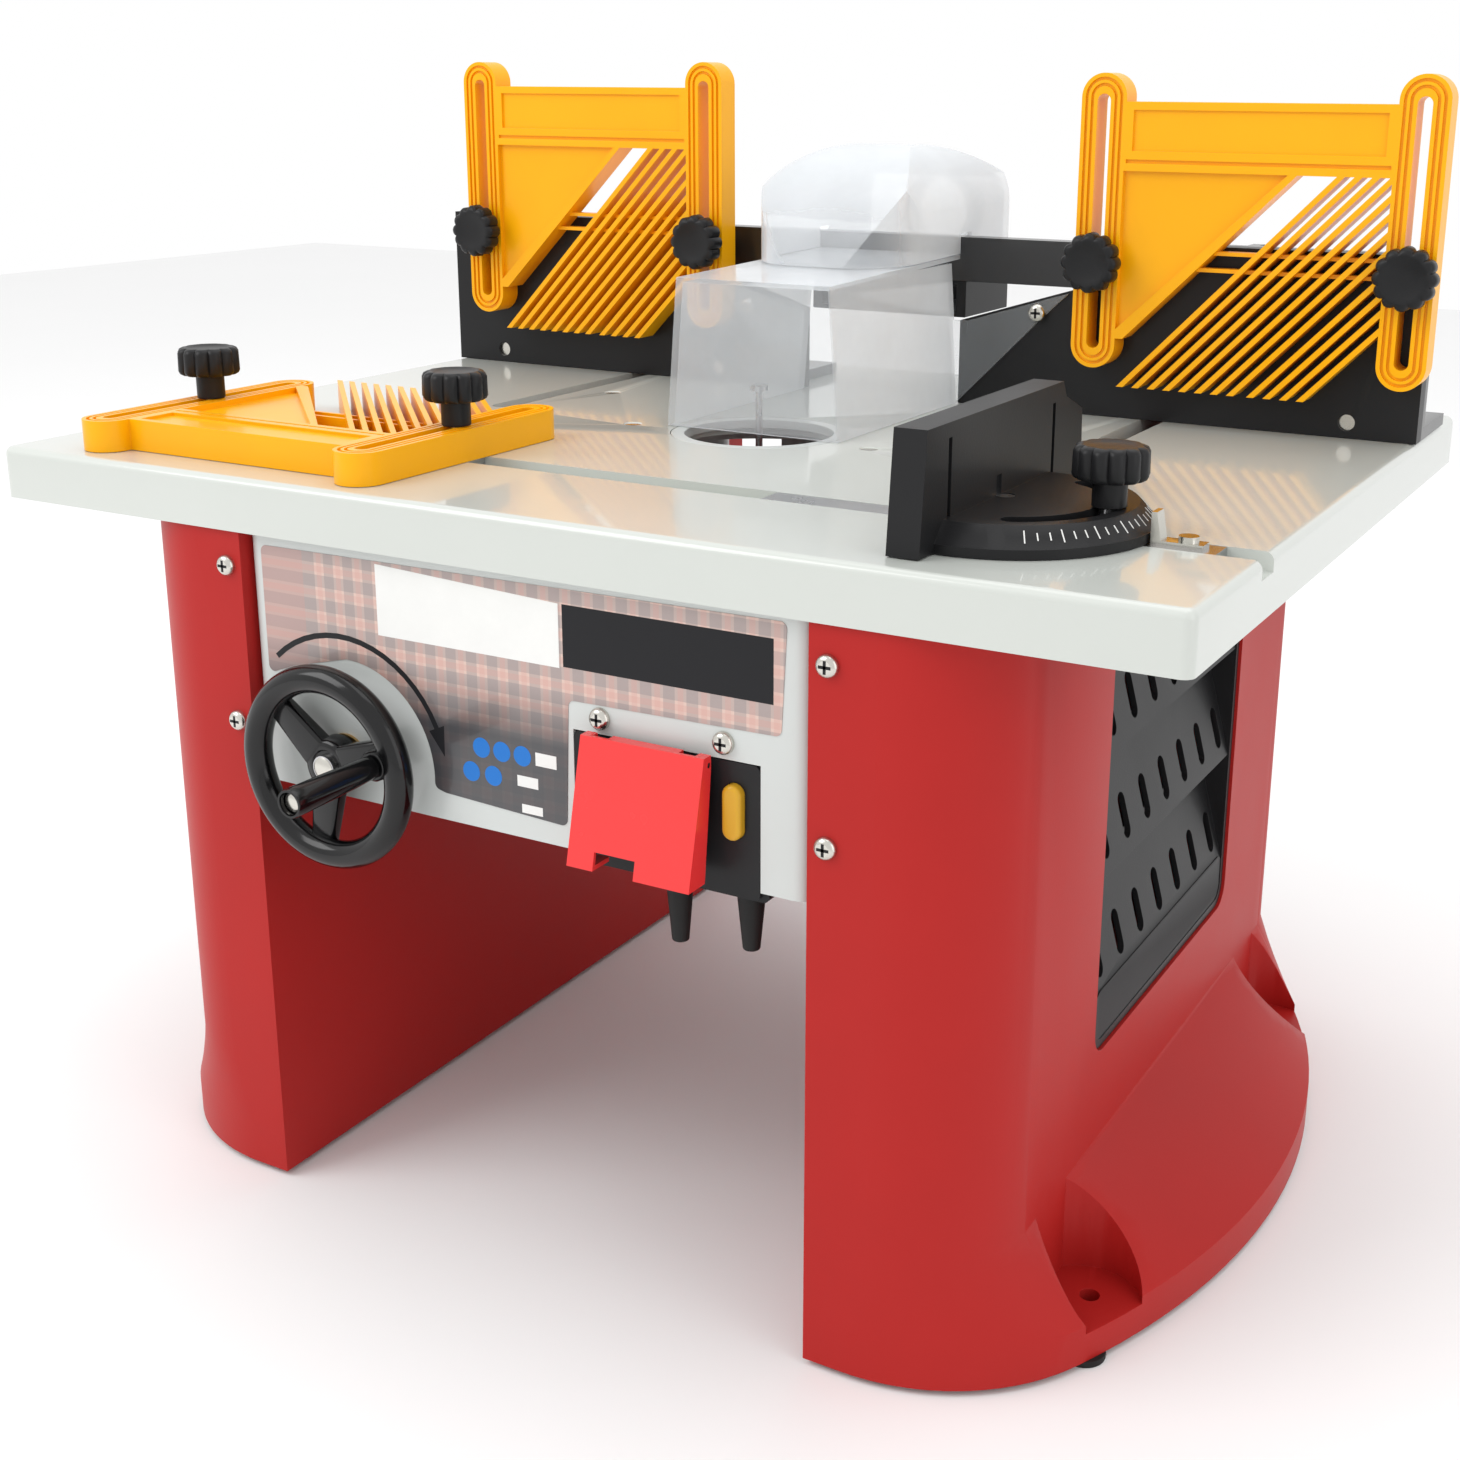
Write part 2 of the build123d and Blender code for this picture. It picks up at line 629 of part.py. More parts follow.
with BuildPart() as handwheel:
    hub = Plane((WHEEL_X, 0, WHEEL_Z), x_dir=(1, 0, 0), z_dir=(0, -1, 0))
    with BuildSketch(Plane((WHEEL_X, RIM_Y, WHEEL_Z), x_dir=(0, 1, 0), z_dir=(1, 0, 0))):
        with Locations((0, RIM_R)):
            Circle(RIM_TUBE_R)
    revolve(axis=Axis((WHEEL_X, RIM_Y, WHEEL_Z), (0, 1, 0)))
    with BuildSketch(hub.offset(225.5)):
        Circle(13)
    extrude(amount=11)
    with BuildSketch(hub.offset(228)):
        for angle in (20, 140, 260):
            with Locations(Rotation(0, 0, angle)):
                with Locations((RIM_R / 2, 0)):
                    Rectangle(RIM_R, 12)
    extrude(amount=7)
    with BuildSketch(hub.offset(231)):
        with Locations((CRANK_R * cos(radians(CRANK_DEG)), CRANK_R * sin(radians(CRANK_DEG)))):
            Circle(7)
    extrude(amount=11.5)
    with BuildSketch(hub.offset(220)):
        Circle(SHAFT_R)
    extrude(amount=18.5, mode=Mode.SUBTRACT)
    with BuildSketch(hub.offset(225)):
        with Locations((CRANK_R * cos(radians(CRANK_DEG)), CRANK_R * sin(radians(CRANK_DEG)))):
            Circle(3)
    extrude(amount=20, mode=Mode.SUBTRACT)
keep(handwheel.part, "handwheel")

CRANK_X = WHEEL_X + CRANK_R * cos(radians(CRANK_DEG))
CRANK_Z = WHEEL_Z + CRANK_R * sin(radians(CRANK_DEG))

with BuildPart() as wheel_bolts:
    with BuildSketch(facing(-238.5)):
        with Locations((WHEEL_X, WHEEL_Z)):
            Circle(6)
    extrude(amount=3)
    with BuildSketch(facing(-229)):
        with Locations((CRANK_X, CRANK_Z)):
            Circle(3)
    extrude(amount=61)
    with BuildSketch(facing(-290)):
        with Locations((CRANK_X, CRANK_Z)):
            Circle(4.4)
    extrude(amount=2)
keep(wheel_bolts.part, "wheel_bolts")

with BuildPart() as crank_grip:
    grip_axis = Plane((CRANK_X, 0, CRANK_Z), x_dir=(1, 0, 0), z_dir=(0, -1, 0))
    with BuildSketch(grip_axis.offset(243)):
        Circle(5.3)
    with BuildSketch(grip_axis.offset(-GRIP_END_Y)):
        Circle(6.6)
    loft()
    with BuildSketch(grip_axis.offset(240)):
        Circle(3.06)
    extrude(amount=60, mode=Mode.SUBTRACT)
    with BuildSketch(grip_axis.offset(289.5)):
        Circle(4.9)
    extrude(amount=10, mode=Mode.SUBTRACT)
keep(crank_grip.part, "crank_grip")


def toothed(radius, teeth, depth):
    """Outline of a toothed disc with flat-topped teeth."""
    points = []
    step = 360 / teeth
    for tooth in range(teeth):
        base = tooth * step
        for offset_deg, r in ((0.0, radius - depth), (0.2, radius), (0.4, radius), (0.6, radius - depth)):
            angle = radians(base + offset_deg * step)
            points.append((r * cos(angle), r * sin(angle)))
    return points


def bevel_gear(big, small, bore, hub_plane, hub_length):
    """Bevel gear on its axis; big and small are (plane, radius) of its two ends."""
    with BuildPart() as gear:
        for plane, radius in (big, small):
            with BuildSketch(plane):
                with BuildLine():
                    Polyline(*toothed(radius, 16, 0.16 * radius), close=True)
                make_face()
        loft(ruled=True)
        with BuildSketch(hub_plane):
            Circle(9)
        extrude(amount=hub_length)
        with BuildSketch(hub_plane):
            Circle(bore)
        extrude(amount=40, mode=Mode.SUBTRACT)
    return gear.part


# the two bevel gears point at the crossing of their axes and their shortened teeth clear
shaft_line = Plane((WHEEL_X, SPINDLE_Y, WHEEL_Z), x_dir=(1, 0, 0), z_dir=(0, 1, 0))
screw_line = Plane((WHEEL_X, SPINDLE_Y, WHEEL_Z), x_dir=(1, 0, 0), z_dir=(0, 0, 1))
pinion = bevel_gear((shaft_line.offset(-14.4), 13.6), (shaft_line.offset(-8.2), 7.6), SHAFT_R,
                    shaft_line.offset(-20), 5.8)
keep(pinion, "drive_pinion")
gear = bevel_gear((screw_line.offset(-14.4), 13.6), (screw_line.offset(-8.2), 7.6), 4.0,
                  screw_line.offset(-22.8), 8.6)
keep(gear, "screw_gear")

with BuildPart() as lead_screw:
    thread_low = WHEEL_Z - 7.6
    turns = int((TABLE_Z - PLATE_T - 7 - thread_low) / SCREW_PITCH)
    with BuildSketch(Plane.XZ.offset(-SPINDLE_Y)):
        with BuildLine():
            outline = [(WHEEL_X, 201), (WHEEL_X + 4, 201), (WHEEL_X + 4, thread_low)]
            for turn in range(turns):
                z = thread_low + turn * SCREW_PITCH
                outline.append((WHEEL_X + 4.7, z))
                outline.append((WHEEL_X + SCREW_R, z + 0.5))
                outline.append((WHEEL_X + SCREW_R, z + 1.5))
                outline.append((WHEEL_X + 4.7, z + 2.0))
            thread_top = thread_low + turns * SCREW_PITCH
            outline += [(WHEEL_X + 4.7, thread_top), (WHEEL_X + 4, thread_top),
                        (WHEEL_X + 4, TABLE_Z - PLATE_T - 0.5), (WHEEL_X, TABLE_Z - PLATE_T - 0.5)]
            Polyline(*outline, close=True)
        make_face()
    revolve(axis=Axis((WHEEL_X, SPINDLE_Y, 0), (0, 0, 1)))
keep(lead_screw.part, "lead_screw")

# ================================ carriage and motor ==============================
with BuildPart() as motor_carriage:
    with BuildSketch(Plane.XY.offset(CARRIAGE_Z0)):
        with Locations((0, SPINDLE_Y)):
            Circle(CLAMP_R)
        with Locations((-COLUMN_X, COLUMN_Y), (COLUMN_X, COLUMN_Y)):
            Circle(13)
        for side in (-1, 1):
            with BuildLine():
                Polyline((side * 32, 28), (side * 62, COLUMN_Y - 12), (side * 76, COLUMN_Y - 8),
                         (side * 60, COLUMN_Y + 6), (side * 30, 46), close=True)
            make_face()
    extrude(amount=CARRIAGE_Z1 - CARRIAGE_Z0)
    # arm to the lead screw
    with BuildSketch(Plane.XY.offset(278)):
        with Locations((WHEEL_X, SPINDLE_Y)):
            Circle(13)
        with Locations((-70, SPINDLE_Y)):
            Rectangle(36, 20)
    extrude(amount=20)
    # split clamp lugs at the front
    with BuildSketch(Plane.XY.offset(CARRIAGE_Z0)):
        with Locations((0, SPINDLE_Y - CLAMP_R - 4)):
            Rectangle(26, 16)
    extrude(amount=CARRIAGE_Z1 - CARRIAGE_Z0)
    with BuildSketch(Plane.XY.offset(CARRIAGE_Z0)):
        with Locations((0, SPINDLE_Y)):
            Circle(MOTOR_R + 0.05)
        with Locations((0, SPINDLE_Y - CLAMP_R - 4)):
            Rectangle(3, 30)
        with Locations((-COLUMN_X, COLUMN_Y), (COLUMN_X, COLUMN_Y)):
            Circle(9)
        with Locations((WHEEL_X, SPINDLE_Y)):
            Circle(9)
    extrude(amount=CARRIAGE_Z1 - CARRIAGE_Z0, mode=Mode.SUBTRACT)
keep(motor_carriage.part, "motor_carriage")

with BuildPart() as guide_bushes:
    with BuildSketch(Plane.XY.offset(CARRIAGE_Z0)):
        with Locations((-COLUMN_X, COLUMN_Y), (COLUMN_X, COLUMN_Y)):
            Circle(9)
            Circle(COLUMN_R + 0.05, mode=Mode.SUBTRACT)
    extrude(amount=CARRIAGE_Z1 - CARRIAGE_Z0)
keep(guide_bushes.part, "guide_bushes")

with BuildPart() as lift_nut:
    with BuildSketch(Plane.XY.offset(278)):
        with Locations((WHEEL_X, SPINDLE_Y)):
            Circle(9)
    extrude(amount=20)
    with BuildSketch(Plane.XY.offset(298)):
        with Locations((WHEEL_X, SPINDLE_Y)):
            Circle(12)
    extrude(amount=3)
    with BuildSketch(Plane.XY.offset(278)):
        with Locations((WHEEL_X, SPINDLE_Y)):
            Circle(SCREW_R + 0.05)
    extrude(amount=23, mode=Mode.SUBTRACT)
keep(lift_nut.part, "lift_nut")

spindle_plane = Plane((0, SPINDLE_Y, 0))

with BuildPart() as motor_housing:
    with BuildSketch(spindle_plane.offset(176)):
        Circle(MOTOR_R)
    extrude(amount=136)
    with BuildSketch(spindle_plane.offset(312)):
        Circle(MOTOR_R)
    with BuildSketch(spindle_plane.offset(318)):
        Circle(24)
    loft()
    with BuildSketch(spindle_plane.offset(176)):
        Circle(MOTOR_R - 3)
    extrude(amount=132, mode=Mode.SUBTRACT)
    with BuildSketch(spindle_plane.offset(297)):
        Circle(19)
    extrude(amount=14)
    with BuildSketch(spindle_plane.offset(296)):
        Circle(16)
    extrude(amount=13, mode=Mode.SUBTRACT)
    with BuildSketch(spindle_plane.offset(300)):
        Circle(11)
    extrude(amount=30, mode=Mode.SUBTRACT)
    # cooling slots above the clamp
    with BuildSketch(facing(SPINDLE_Y)):
        with Locations((-20, 303), (-10, 303), (10, 303), (20, 303)):
            SlotOverall(7, 3, rotation=90)
    extrude(amount=60, mode=Mode.SUBTRACT)
keep(motor_housing.part, "motor_housing")

with BuildPart() as motor_cap:
    with BuildSketch(spindle_plane.offset(140)):
        Circle(30)
    with BuildSketch(spindle_plane.offset(150)):
        Circle(MOTOR_R)
    loft()
    with BuildSketch(spindle_plane.offset(150)):
        Circle(MOTOR_R)
    extrude(amount=26)
    with BuildSketch(spindle_plane.offset(152)):
        Circle(MOTOR_R - 3)
        Circle(14, mode=Mode.SUBTRACT)
    extrude(amount=24, mode=Mode.SUBTRACT)
    with BuildSketch(spindle_plane.offset(165)):
        Circle(15)
    extrude(amount=11, mode=Mode.SUBTRACT)
    with BuildSketch(spindle_plane.offset(154)):
        Circle(11)
    extrude(amount=11, mode=Mode.SUBTRACT)
    with BuildSketch(spindle_plane.offset(138)):
        with PolarLocations(22, 12):
            SlotOverall(14, 3.5)
    extrude(amount=14, mode=Mode.SUBTRACT)
keep(motor_cap.part, "motor_cap")

with BuildPart() as motor_stator:
    with BuildSketch(spindle_plane.offset(198)):
        Circle(MOTOR_R - 3)
        Circle(25.6, mode=Mode.SUBTRACT)
    extrude(amount=58)
    with BuildSketch(spindle_plane.offset(190)):
        Circle(40)
        Circle(29, mode=Mode.SUBTRACT)
    extrude(amount=74)
keep(motor_stator.part, "motor_stator")

with BuildPart() as motor_bearings:
    for z, outer in ((154, 11), (298, 16)):
        with BuildSketch(spindle_plane.offset(z)):
            Circle(outer)
            Circle(SHAFT_R + 0.05, mode=Mode.SUBTRACT)
        extrude(amount=10)
keep(motor_bearings.part, "motor_bearings")

with BuildPart() as armature:
    with BuildSketch(spindle_plane.offset(154.5)):
        Circle(SHAFT_R)
    extrude(amount=158)
    with BuildSketch(spindle_plane.offset(312.5)):
        Circle(9)
    extrude(amount=24)
    with BuildSketch(spindle_plane.offset(200)):
        Circle(25)
        with PolarLocations(25, 12):
            Rectangle(5, 3, mode=Mode.SUBTRACT)
    extrude(amount=54)
    with BuildSketch(spindle_plane.offset(172)):
        Circle(14)
    extrude(amount=16)
    with BuildSketch(spindle_plane.offset(324)):
        Circle(3.2)
    extrude(amount=14, mode=Mode.SUBTRACT)
keep(armature.part, "armature")

with BuildPart() as cooling_fan:
    with BuildSketch(spindle_plane.offset(270)):
        Circle(42)
        Circle(SHAFT_R, mode=Mode.SUBTRACT)
    extrude(amount=2)
    with BuildSketch(spindle_plane.offset(272)):
        Circle(11)
        Circle(SHAFT_R, mode=Mode.SUBTRACT)
        with PolarLocations(27, 9, start_angle=10):
            Rectangle(28, 2.5, rotation=25)
    extrude(amount=12)
keep(cooling_fan.part, "cooling_fan")

with BuildPart() as collet_nut:
    with BuildSketch(spindle_plane.offset(322)):
        RegularPolygon(14, 6)
    extrude(amount=14.5)
    with BuildSketch(spindle_plane.offset(336.5)):
        Circle(11)
    extrude(amount=4)
    with BuildSketch(spindle_plane.offset(322)):
        Circle(9)
    extrude(amount=14.5, mode=Mode.SUBTRACT)
    with BuildSketch(spindle_plane.offset(336)):
        Circle(3.2)
    extrude(amount=6, mode=Mode.SUBTRACT)
keep(collet_nut.part, "collet_nut")

with BuildPart() as keyhole_bit:
    with BuildSketch(spindle_plane.offset(325)):
        Circle(3.2)
    extrude(amount=20)
    with BuildSketch(spindle_plane.offset(345)):
        Circle(1.8)
    extrude(amount=35)
    with BuildSketch(spindle_plane.offset(379.5)):
        Circle(4.7)
        with PolarLocations(4.9, 2):
            Rectangle(2.4, 2.4, mode=Mode.SUBTRACT)
    extrude(amount=2.5)
keep(keyhole_bit.part, "keyhole_bit")


# ================================ fence ==========================================
def fence_outline(side, low, inner):
    """Corners of half the fence seen from the front: upright inner end, sloping upper corner."""
    return [(side * inner, low), (side * FENCE_END, low), (side * FENCE_END, FENCE_TOP),
            (side * 115, FENCE_TOP), (side * 115, 424), (side * inner, 404)]


BOARD_X = {"left": -184.7, "right": 211.6}
KNOB_X = [BOARD_X["left"] - EAR_PITCH / 2, BOARD_X["left"] + EAR_PITCH / 2,
          BOARD_X["right"] - EAR_PITCH / 2, BOARD_X["right"] + EAR_PITCH / 2]

for label, side in (("left_facing", -1), ("right_facing", 1)):
    with BuildPart() as facing_board:
        with BuildSketch(facing(FENCE_Y + FACING_T)):
            with BuildLine():
                Polyline(*fence_outline(side, TABLE_Z + GAP, 50), close=True)
            make_face()
            knobs = [(x, BOLT_Z) for x in KNOB_X if x * side > 0]
            with Locations(*knobs):
                Circle(BOLT_R, mode=Mode.SUBTRACT)
            with Locations(*[place for place in WING_SCREWS if place[0] * side > 0]):
                Circle(2.1, mode=Mode.SUBTRACT)
        extrude(amount=FACING_T)
        with Locations(Plane((0, FENCE_Y, 0), x_dir=(1, 0, 0), z_dir=(0, -1, 0))):
            with Locations((side * 106.6, 366), (side * 263.6, 366)):
                CounterBoreHole(radius=2.5, counter_bore_radius=4.2, counter_bore_depth=5, depth=FACING_T)
    keep(facing_board.part, label)

with BuildPart() as fence_beam:
    back = FENCE_Y + FACING_T
    for side in (-1, 1):
        with BuildSketch(facing(back + 6)):
            with BuildLine():
                Polyline(*fence_outline(side, TABLE_Z + GAP, 62), close=True)
            make_face()
        extrude(amount=6)
        # base flange behind, which the clamp bolts hold down
        with BuildSketch(Plane.XY.offset(TABLE_Z + GAP)):
            with Locations((side * 180, back + 28)):
                Rectangle(FENCE_END * 2 - 360, 56)
        extrude(amount=6)
        # end webs
        for x in (205, 278):
            with BuildSketch(sideways(side * x - 3)):
                with BuildLine():
                    Polyline((back + 5, TABLE_Z + 5), (back + 50, TABLE_Z + 5), (back + 18, FENCE_TOP),
                             (back + 5, FENCE_TOP), close=True)
                make_face()
            extrude(amount=6)
    with BuildSketch(facing(back + 12)):
        with Locations((0, (BAR_Z0 + BAR_Z1) / 2)):
            Rectangle(236, BAR_Z1 - BAR_Z0)
    extrude(amount=12)
    with BuildSketch(facing(back + 12)):
        with Locations(*[(x, BOLT_Z) for x in KNOB_X]):
            Circle(BOLT_R)
        with Locations(*[(x, 366) for x in (-263.6, -106.6, 106.6, 263.6)]):
            Circle(2.1)
    extrude(amount=14, mode=Mode.SUBTRACT)
    with BuildSketch(Plane.XY.offset(TABLE_Z)):
        with Locations((-FENCE_SLOT_X, CLAMP_Y), (FENCE_SLOT_X, CLAMP_Y)):
            Circle(4)
    extrude(amount=12, mode=Mode.SUBTRACT)
keep(fence_beam.part, "fence_beam")

with BuildPart() as hood_base:
    # black throat under the bridge, then a box that leads up into the hood
    with BuildSketch(facing(back + 12)):
        with Locations((0, (404 + BAR_Z0) / 2)):
            Rectangle(96, BAR_Z0 - 404)
            Rectangle(84, BAR_Z0 - 404 - 6, mode=Mode.SUBTRACT)
    extrude(amount=12)
    with BuildSketch(facing(back + 60)):
        with Locations((0, 419)):
            Rectangle(96, 30)
    extrude(amount=48)
    with BuildSketch(facing(back + 57)):
        with Locations((0, 432)):
            Rectangle(84, 50)
    extrude(amount=42, mode=Mode.SUBTRACT)
    with BuildSketch(facing(back + 20)):
        with Locations((0, (404 + BAR_Z0) / 2)):
            Rectangle(84, BAR_Z0 - 404 - 6)
    extrude(amount=10, mode=Mode.SUBTRACT)
keep(hood_base.part, "hood_base")

with BuildPart() as guard:
    # clear box over the bit: front sheet, two leaning side sheets and a top
    with BuildSketch(facing(GUARD_Y + GUARD_T)):
        with BuildLine():
            Polyline((-GUARD_FOOT, GUARD_Z0), (GUARD_FOOT, GUARD_Z0), (GUARD_X, GUARD_Z1),
                     (-GUARD_X, GUARD_Z1), close=True)
        make_face()
    extrude(amount=GUARD_T)
    for side in (-1, 1):
        with BuildSketch(facing(FENCE_Y)):
            with BuildLine():
                Polyline((side * (GUARD_FOOT - GUARD_T), GUARD_Z0), (side * GUARD_FOOT, GUARD_Z0),
                         (side * GUARD_X, GUARD_Z1), (side * (GUARD_X - GUARD_T), GUARD_Z1), close=True)
            make_face()
        extrude(amount=FENCE_Y - GUARD_Y - GUARD_T)
        # wing that lies on the facing and carries the screws
        with BuildSketch(facing(FENCE_Y)):
            with BuildLine():
                Polyline((side * (GUARD_FOOT - 1), GUARD_Z0), *WING_TIPS[side], (side * 55, 404),
                         (side * (GUARD_X + 1), 404), close=True)
            make_face()
        extrude(amount=2)
    with BuildSketch(sideways(-GUARD_X)):
        with BuildLine():
            Polyline((GUARD_Y, GUARD_Z1), (back, GUARD_Z1 + 4), (back, GUARD_Z1 + 1.5),
                     (GUARD_Y, GUARD_Z1 - 2.5), close=True)
        make_face()
    extrude(amount=2 * GUARD_X)
    with BuildSketch(facing(FENCE_Y)):
        with Locations(*WING_SCREWS):
            Circle(2.1)
    extrude(amount=4, mode=Mode.SUBTRACT)
keep(guard.part, "guard")


def hood_profile(inset):
    """Side outline of the hood: it springs from the guard and crests over the fence."""
    half = HOOD_X - inset
    end = HOOD_BACK_Y - inset
    start = HOOD_FRONT_Y + inset
    with BuildSketch(sideways(-half)) as profile:
        with BuildLine():
            Polyline((start, GUARD_Z1 + 2.4), (back - 2, GUARD_Z1 + 4.6), (back - 2, BAR_Z1 + 2.3),
                     (back + 12.4, BAR_Z1 + 2.3), (back + 12.4, 434.3), (end, 434.3),
                     (end, 480 - inset))
            Spline((end, 480 - inset), (172, 491 - inset), (124, HOOD_TOP_Z - inset),
                   (80, 483 - inset), (start, GUARD_Z1 + 2.4))
        make_face()
    return profile.sketch


def hood_arch(inset):
    """Front outline of the hood, with rounded shoulders."""
    half = HOOD_X - inset
    top = HOOD_TOP_Z + 1 - inset
    shoulder = HOOD_SHOULDER_R - inset
    side = half - shoulder * (1 - cos(radians(45)))
    crown = top - shoulder * (1 - sin(radians(45)))
    with BuildSketch(facing(HOOD_BACK_Y + 1)) as arch:
        with BuildLine():
            Line((-half, 430), (half, 430))
            Line((half, 430), (half, top - shoulder))
            ThreePointArc((half, top - shoulder), (side, crown), (half - shoulder, top))
            Line((half - shoulder, top), (shoulder - half, top))
            ThreePointArc((shoulder - half, top), (-side, crown), (-half, top - shoulder))
            Line((-half, top - shoulder), (-half, 430))
        make_face()
    return arch.sketch


def hood_plan(inset):
    """Outline of the hood from above, with a rounded nose."""
    half = HOOD_X - inset
    start = HOOD_FRONT_Y - 1 + inset
    nose = HOOD_NOSE_R - inset
    side = half - nose * (1 - cos(radians(45)))
    tip = start + nose * (1 - sin(radians(45)))
    with BuildSketch(Plane.XY.offset(430)) as plan:
        with BuildLine():
            Line((-half, HOOD_BACK_Y + 1), (half, HOOD_BACK_Y + 1))
            Line((half, HOOD_BACK_Y + 1), (half, start + nose))
            ThreePointArc((half, start + nose), (side, tip), (half - nose, start))
            Line((half - nose, start), (nose - half, start))
            ThreePointArc((nose - half, start), (-side, tip), (-half, start + nose))
            Line((-half, start + nose), (-half, HOOD_BACK_Y + 1))
        make_face()
    return plan.sketch


def hood_form(inset):
    """Solid that the three outlines have in common."""
    with BuildPart() as form:
        extrude(hood_profile(inset), amount=2 * (HOOD_X - inset))
        extrude(hood_arch(inset), amount=HOOD_BACK_Y, mode=Mode.INTERSECT)
        extrude(hood_plan(inset), amount=80, mode=Mode.INTERSECT)
    return form.part


with BuildPart() as dust_hood:
    add(hood_form(0))
    add(hood_form(HOOD_WALL), mode=Mode.SUBTRACT)
    # round spigot for the extraction hose, on the back wall
    with BuildSketch(facing(PORT_END_Y)):
        with Locations((0, PORT_Z)):
            Circle(PORT_R + HOOD_WALL)
    extrude(amount=PORT_END_Y - HOOD_BACK_Y + 1)
    with BuildSketch(facing(PORT_END_Y - 10)):
        with Locations((0, PORT_Z)):
            Circle(PORT_R + 4)
    extrude(amount=3)
    with BuildSketch(facing(PORT_END_Y)):
        with Locations((0, PORT_Z)):
            Circle(PORT_R)
    extrude(amount=PORT_END_Y - HOOD_BACK_Y + HOOD_WALL + 1, mode=Mode.SUBTRACT)
keep(dust_hood.part, "dust_hood")


def knob(stem_plane, stem, head, bore):
    """Lobed knob: a stem of the given length, then a twelve-lobed head; blind bore from below."""
    with BuildPart() as turned:
        with BuildSketch(stem_plane):
            Circle(7)
        extrude(amount=stem)
        with BuildSketch(stem_plane.offset(stem)):
            Circle(KNOB_R - 2.2)
            with PolarLocations(KNOB_R - 2.8, 12):
                Circle(2.8)
        extrude(amount=head)
        chamfer(turned.faces().sort_by(Axis(stem_plane.origin, stem_plane.z_dir))[-1].edges(), 0.8)
        with BuildSketch(stem_plane):
            Circle(bore)
        extrude(amount=stem + head - 4, mode=Mode.SUBTRACT)
    return turned.part


# knobs on the fence face, which press the featherboards back
for side, centre in BOARD_X.items():
    for number, shift in ((1, -EAR_PITCH / 2), (2, EAR_PITCH / 2)):
        base = Plane((centre + shift, FENCE_Y - BOARD_T - 0.3, BOLT_Z), x_dir=(1, 0, 0), z_dir=(0, -1, 0))
        keep(knob(base, 3, 11, BOLT_R + KNOB_FIT), f"{side}_board_knob_{number}")

# clamp knobs behind the fence
for side, sign in (("left", -1), ("right", 1)):
    base = Plane((sign * FENCE_SLOT_X, CLAMP_Y, TABLE_Z + GAP + 6.2))
    keep(knob(base, 10, 12, 4 + KNOB_FIT), f"{side}_clamp_knob")

# knobs of the board on the table
for number, x in ((1, TABLE_BOARD_X), (2, TABLE_BOARD_X + EAR_PITCH)):
    base = Plane((x, MITRE_Y, TABLE_Z + GAP + BOARD_T + 0.2))
    keep(knob(base, 12, 14, BOLT_R + KNOB_FIT), f"table_board_knob_{number}")


with BuildPart() as fence_fasteners:
    # carriage bolts for the featherboards, nuts behind the beam
    for x in KNOB_X:
        rear = back + (12 if abs(x) < 118 else 6)
        with BuildSketch(facing(rear + 5)):
            with Locations((x, BOLT_Z)):
                RegularPolygon(5.5, 6)
        extrude(amount=5)
        with BuildSketch(facing(rear)):
            with Locations((x, BOLT_Z)):
                Circle(BOLT_R)
        extrude(amount=rear - (FENCE_Y - BOARD_T - 9))
    # screws through the facings into the beam
    for x in (-263.6, -106.6, 106.6, 263.6):
        with BuildSketch(facing(back + 6)):
            with Locations((x, 366)):
                Circle(2.1)
        extrude(amount=12)
        with BuildSketch(facing(back - 6)):
            with Locations((x, 366)):
                Circle(4)
        extrude(amount=3)
    # clamp bolts in the table slots: head under the plate, stud up through the flange
    for side in (-1, 1):
        with BuildSketch(Plane.XY.offset(TABLE_Z - PLATE_T - 6.2)):
            with Locations((side * FENCE_SLOT_X, CLAMP_Y)):
                Circle(9)
        extrude(amount=6)
        with BuildSketch(Plane.XY.offset(TABLE_Z - PLATE_T - 0.2)):
            with Locations((side * FENCE_SLOT_X, CLAMP_Y)):
                Circle(4)
        extrude(amount=32)
    for x, z in WING_SCREWS:
        add(pan_screw(x, FENCE_Y - 2, z, -1, 8))
keep(fence_fasteners.part, "fence_fasteners")


